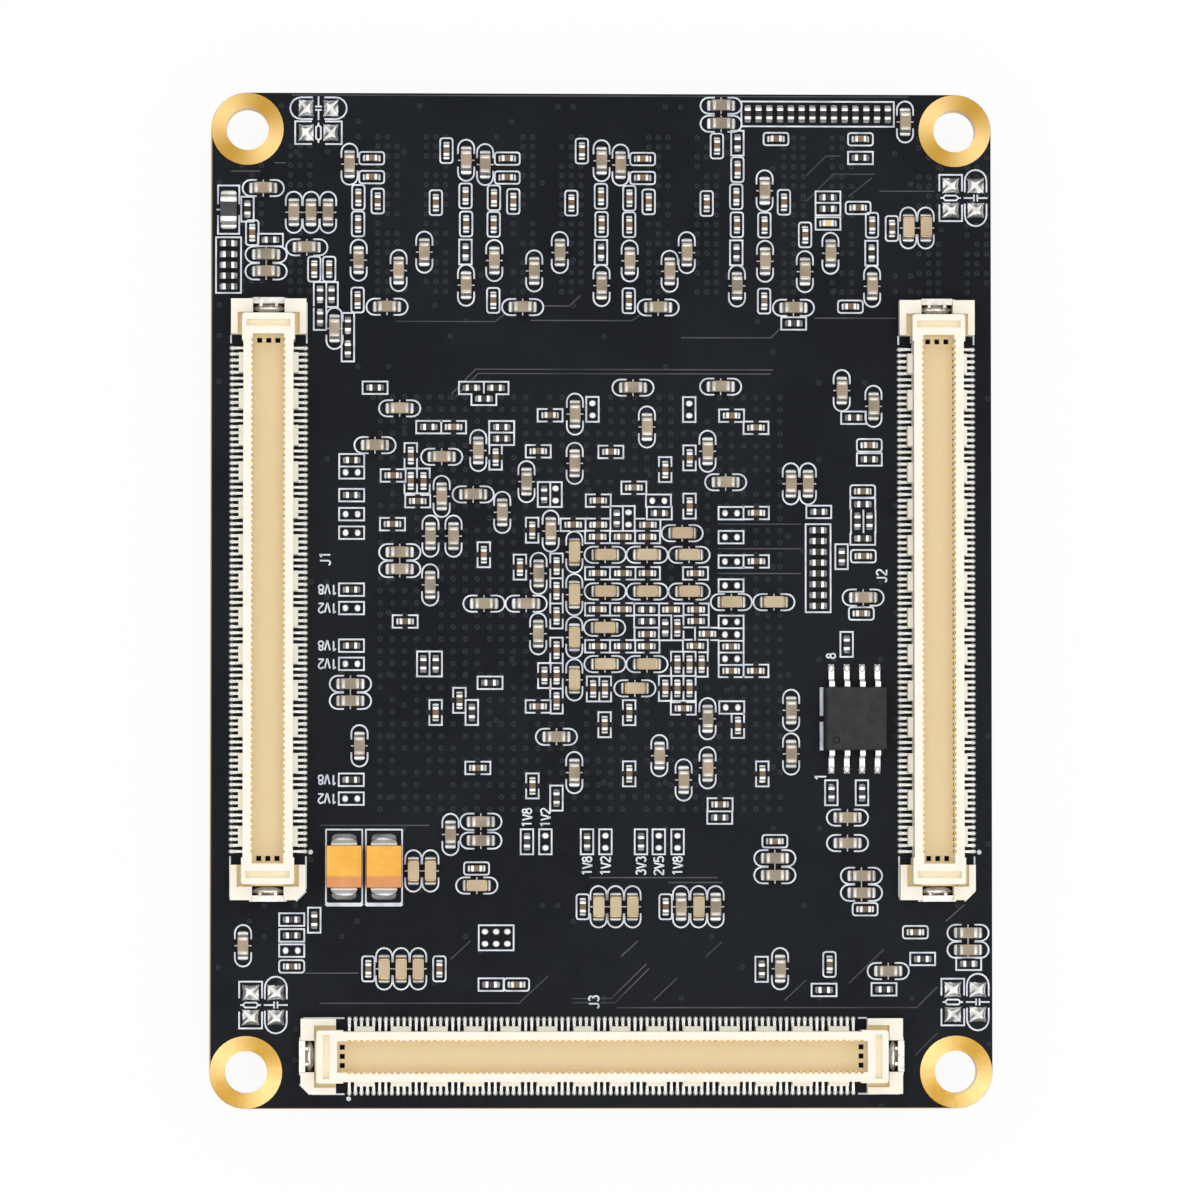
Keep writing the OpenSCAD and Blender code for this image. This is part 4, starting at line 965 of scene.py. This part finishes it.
for name, scale, chips, *tones in (
    ("grey_tan_ceramic", 330.0, "capacitors_0603", (132, 121, 105), (157, 141, 118), (183, 161, 138)),
    ("tan_ceramic", 250.0, "bulk_capacitors", (184, 163, 129), (197, 176, 143), (208, 187, 155)),
    ("pale_gold_ceramic", 900.0, "chip_inductor", (214, 178, 110), (232, 200, 134), (240, 212, 150)),
    ("dark_ferrite", 700.0, "ferrite_bead", (44, 44, 44), (60, 60, 59), (74, 73, 71)),
):
    dress(ceramic_finish(name, scale, tones), chips)
brown_ceramic = ceramic_finish("brown_ceramic", 420.0, ((99, 80, 59), (124, 100, 73), (146, 119, 97)))
dress(brown_ceramic, "memory_capacitors", "processor_capacitors")
black_glaze = ceramic_finish("black_glaze", 600.0, ((26, 24, 22), (38, 35, 32), (56, 50, 44)), 0.34)
dress(black_glaze, "resistors", "resistor_rows")
low_toe = 0.15
high_toe = 0.5
for name, chips, band_share, cap, toe_height in (
    ("soldered_0603_ends", "capacitors_0603", 0.486, white_cap, low_toe),
    ("soldered_bulk_ends", "bulk_capacitors", 0.348, tan_cap, low_toe),
    ("soldered_memory_ends", "memory_capacitors", 0.52, small_cap, low_toe),
    ("soldered_processor_ends", "processor_capacitors", 0.52, small_cap, low_toe),
    ("soldered_resistor_ends", "resistors", 0.52, resistor_cap, high_toe),
    ("soldered_row_ends", "resistor_rows", 0.52, resistor_cap, high_toe),
    ("soldered_inductor_ends", "chip_inductor", 0.52, small_cap, low_toe),
    ("soldered_bead_ends", "ferrite_bead", 0.5, small_cap, low_toe),
):
    solder_ends(name, chips, band_share, cap, toe_height)

# Tantalum capacitors: a pressed powder core moulded in orange resin with a darker band at the positive
# end, and flat tinned straps that turn down at both ends into the solder.
resin_finish, resin_shader, resin_grain = new_finish("orange_resin", 900.0, specular=0.4)
resin_colour = blend_of(resin_grain["Tone"], ink(240, 170, 52), ink(250, 187, 72))
band_colour = blend_of(resin_grain["Tone"], ink(217, 141, 78), ink(229, 156, 95))
band_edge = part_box("tantalum_capacitors")[0].y + 0.96 * mm
on_band = math_of("LESS_THAN", object_xyz(resin_shader)["Y"], band_edge)
paint(resin_shader, blend_of(on_band, resin_colour, band_colour), (0.38, 0.54), resin_grain["Fine"])
raise_surface(resin_shader, resin_grain["Fine"], 0.15, 0.02 * mm)
dress(resin_finish, "tantalum_capacitors")

# The solder on the straps is bright in a bow next to the body and dull grey at its toe
strap_finish, strap_shader, strap_grain = new_finish("strap_solder", 700.0, metallic=0.25)
strap_xyz = object_xyz(strap_shader)
body_middle, body_size = solids("tantalum_capacitors")
half_length = body_size[0, 1] / 2 * mm
half_spacing = np.ptp(body_middle[:, 0]) / 2 * mm
strap_middle = body_middle.mean(axis=0) * mm
aside = away_from(strap_xyz["X"], strap_middle[0])
aside = math_of("SUBTRACT", aside, half_spacing)
bow = math_of("MULTIPLY", math_of("MULTIPLY", aside, aside), 0.3 / mm)
ragged = math_of("MULTIPLY", strap_grain["Tone"], 0.16 * mm)
outward = away_from(strap_xyz["Y"], strap_middle[1])
outward = math_of("SUBTRACT", outward, half_length)
outward = math_of("ADD", math_of("ADD", outward, bow), ragged)
on_toe = ramp_between(outward, 0.66 * mm, 0.76 * mm)
strap_bright = blend_of(strap_grain["Fine"], ink(228, 227, 223), ink(254, 253, 250))
strap_dull = blend_of(strap_grain["Tone"], ink(92, 92, 91), ink(136, 135, 132))
paint(strap_shader, blend_of(on_toe, strap_bright, strap_dull), (0.36, 0.36), strap_grain["Fine"])
raise_surface(strap_shader, strap_grain["Tone"], 0.3, 0.05 * mm)
solder_ends("soldered_tantalum_ends", "tantalum_capacitors", 0.24, strap_finish, low_toe)

# Flash chip: black mould compound with a fine matte grain and a dot at the first lead, on eight tinned
# gull-wing leads.
compound_finish, compound_shader, compound_grain = new_finish("mould_compound", 1300.0, specular=0.3)
compound_colour = blend_of(compound_grain["Tone"], ink(38, 38, 39), ink(51, 51, 52))
compound_xyz = object_xyz(compound_shader)
dot_x = math_of("SUBTRACT", compound_xyz["X"], flash_low.x + 1.02 * mm)
dot_y = math_of("SUBTRACT", compound_xyz["Y"], flash_low.y + 0.84 * mm)
dot_edge = within(distance_of(dot_x, dot_y), 0.27 * mm, 0.05 * mm)
compound_colour = blend_of(dot_edge, compound_colour, ink(16, 16, 17))
paint(compound_shader, compound_colour, (0.55, 0.75), compound_grain["Fine"])
raise_surface(compound_shader, compound_grain["Fine"], 0.35, 0.02 * mm)
dress(compound_finish, "flash_chip")
lead_finish, lead_shader, lead_grain = new_finish("tinned_lead", 1500.0, metallic=0.5)
lead_z = object_xyz(lead_shader)["Z"]
lead_colour = blend_of(lead_grain["Tone"], ink(224, 223, 220), ink(255, 255, 253))
# Painted shade: the two bends of each lead, picked by height, are painted dark grey where their slopes
# fall in shade
for bend in (0.34, 0.8):
    painted_bend_shade = within(lead_z, top + bend * mm, 0.12 * mm)
    lead_colour = blend_of(painted_bend_shade, lead_colour, ink(92, 91, 90))
paint(lead_shader, lead_colour, (0.2, 0.38), lead_grain["Fine"])
dress(lead_finish, "flash_chip_leads")
lead_middle, lead_size = solids("flash_chip_leads")
lead_forwards = steps_along(1, np.sign(lead_middle[:, 1] - flash_middle))
lead_toes = lead_middle + lead_forwards * (lead_size[:, 1] / 2 - 0.35)[:, None]
toe_size = (0.74, 0.56, 0.28)
toe_shapes = copies(bead(9), lead_toes, lead_forwards, *toe_size)
add_piece("lead_solder", toe_shapes, tail_finish, soft_edge)

# Bare pads: places where no part is fitted. The reflowed solder stands in a round drop on each small
# pad, and in a mound with its corners pulled out on each large one.


def pulled_mound(cells):
    """Solder on a square pad, on a unit square: a crown that leans to one side, four ridges that run out
    to the pulled corners, and hollow sides between them."""
    line = np.linspace(-1, 1, cells)
    x, y = np.meshgrid(line, line, indexing="ij")
    far = np.maximum(np.abs(x), np.abs(y))
    crown = (1 - x**2) * (1 - y**2) * (1 + 0.8 * x - 0.55 * y)
    ridge = np.exp(-((np.abs(x) - np.abs(y)) ** 2) * 14) * far
    height = 0.1 + 0.55 * crown + 0.4 * ridge * (1 - 0.6 * far**6)
    pull = 1 - 0.08 * (1 - np.abs(x * y)) * far**4
    upper = np.stack([x * pull / 2, y * pull / 2, height], axis=2).reshape(-1, 3)
    return closed_sheet(upper, cells, cells)


for name, pads, drop, rise in (
    ("solder_on_0402_pads", "bare_pads_0402", bead(9), 0.9),
    ("solder_on_0805_pads", "bare_pads_0805", pulled_mound(13), 3.2),
):
    middle, size = solids(pads)
    forwards = steps_along(0, np.where(np.arange(len(middle)) % 3 == 1, -1.0, 1.0))
    drops = copies(drop, middle, forwards, size[:, 0], size[:, 1], rise * size[:, 2])
    piece = add_piece(name, drops, solder_finish, 1.0)
    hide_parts(pads)

# The processor: a green laminate substrate on solder balls, under a stamped copper lid plated with
# satin nickel.
nickel_finish = grain_finish(
    "satin_nickel", 260.0, (168, 167, 163), (198, 197, 193), (0.32, 0.46), 0.1, 0.02, metallic=0.95
)
dress(nickel_finish, "processor_lid")
substrate_finish = grain_finish(
    "green_laminate", 500.0, (34, 78, 48), (48, 98, 62), (0.4, 0.4), 0.1, specular=0.4
)
dress(substrate_finish, "processor_substrate")
dress(solder_finish, "processor_solder_balls")

# Memory chips, power modules and the clock: black moulded bodies and a small ceramic case with a
# plated lid, all on soldered balls or lands.
dress(compound_finish, "memory_chips", "power_modules")
dress(solder_finish, "memory_solder_balls", "power_module_lands", "clock_oscillator_lands")
case_tones = ((46, 42, 38), (58, 54, 50), (70, 66, 60))
dress(ceramic_finish("dark_case_ceramic", 800.0, case_tones), "clock_oscillator")
dress(nickel_finish, "clock_oscillator_lid")
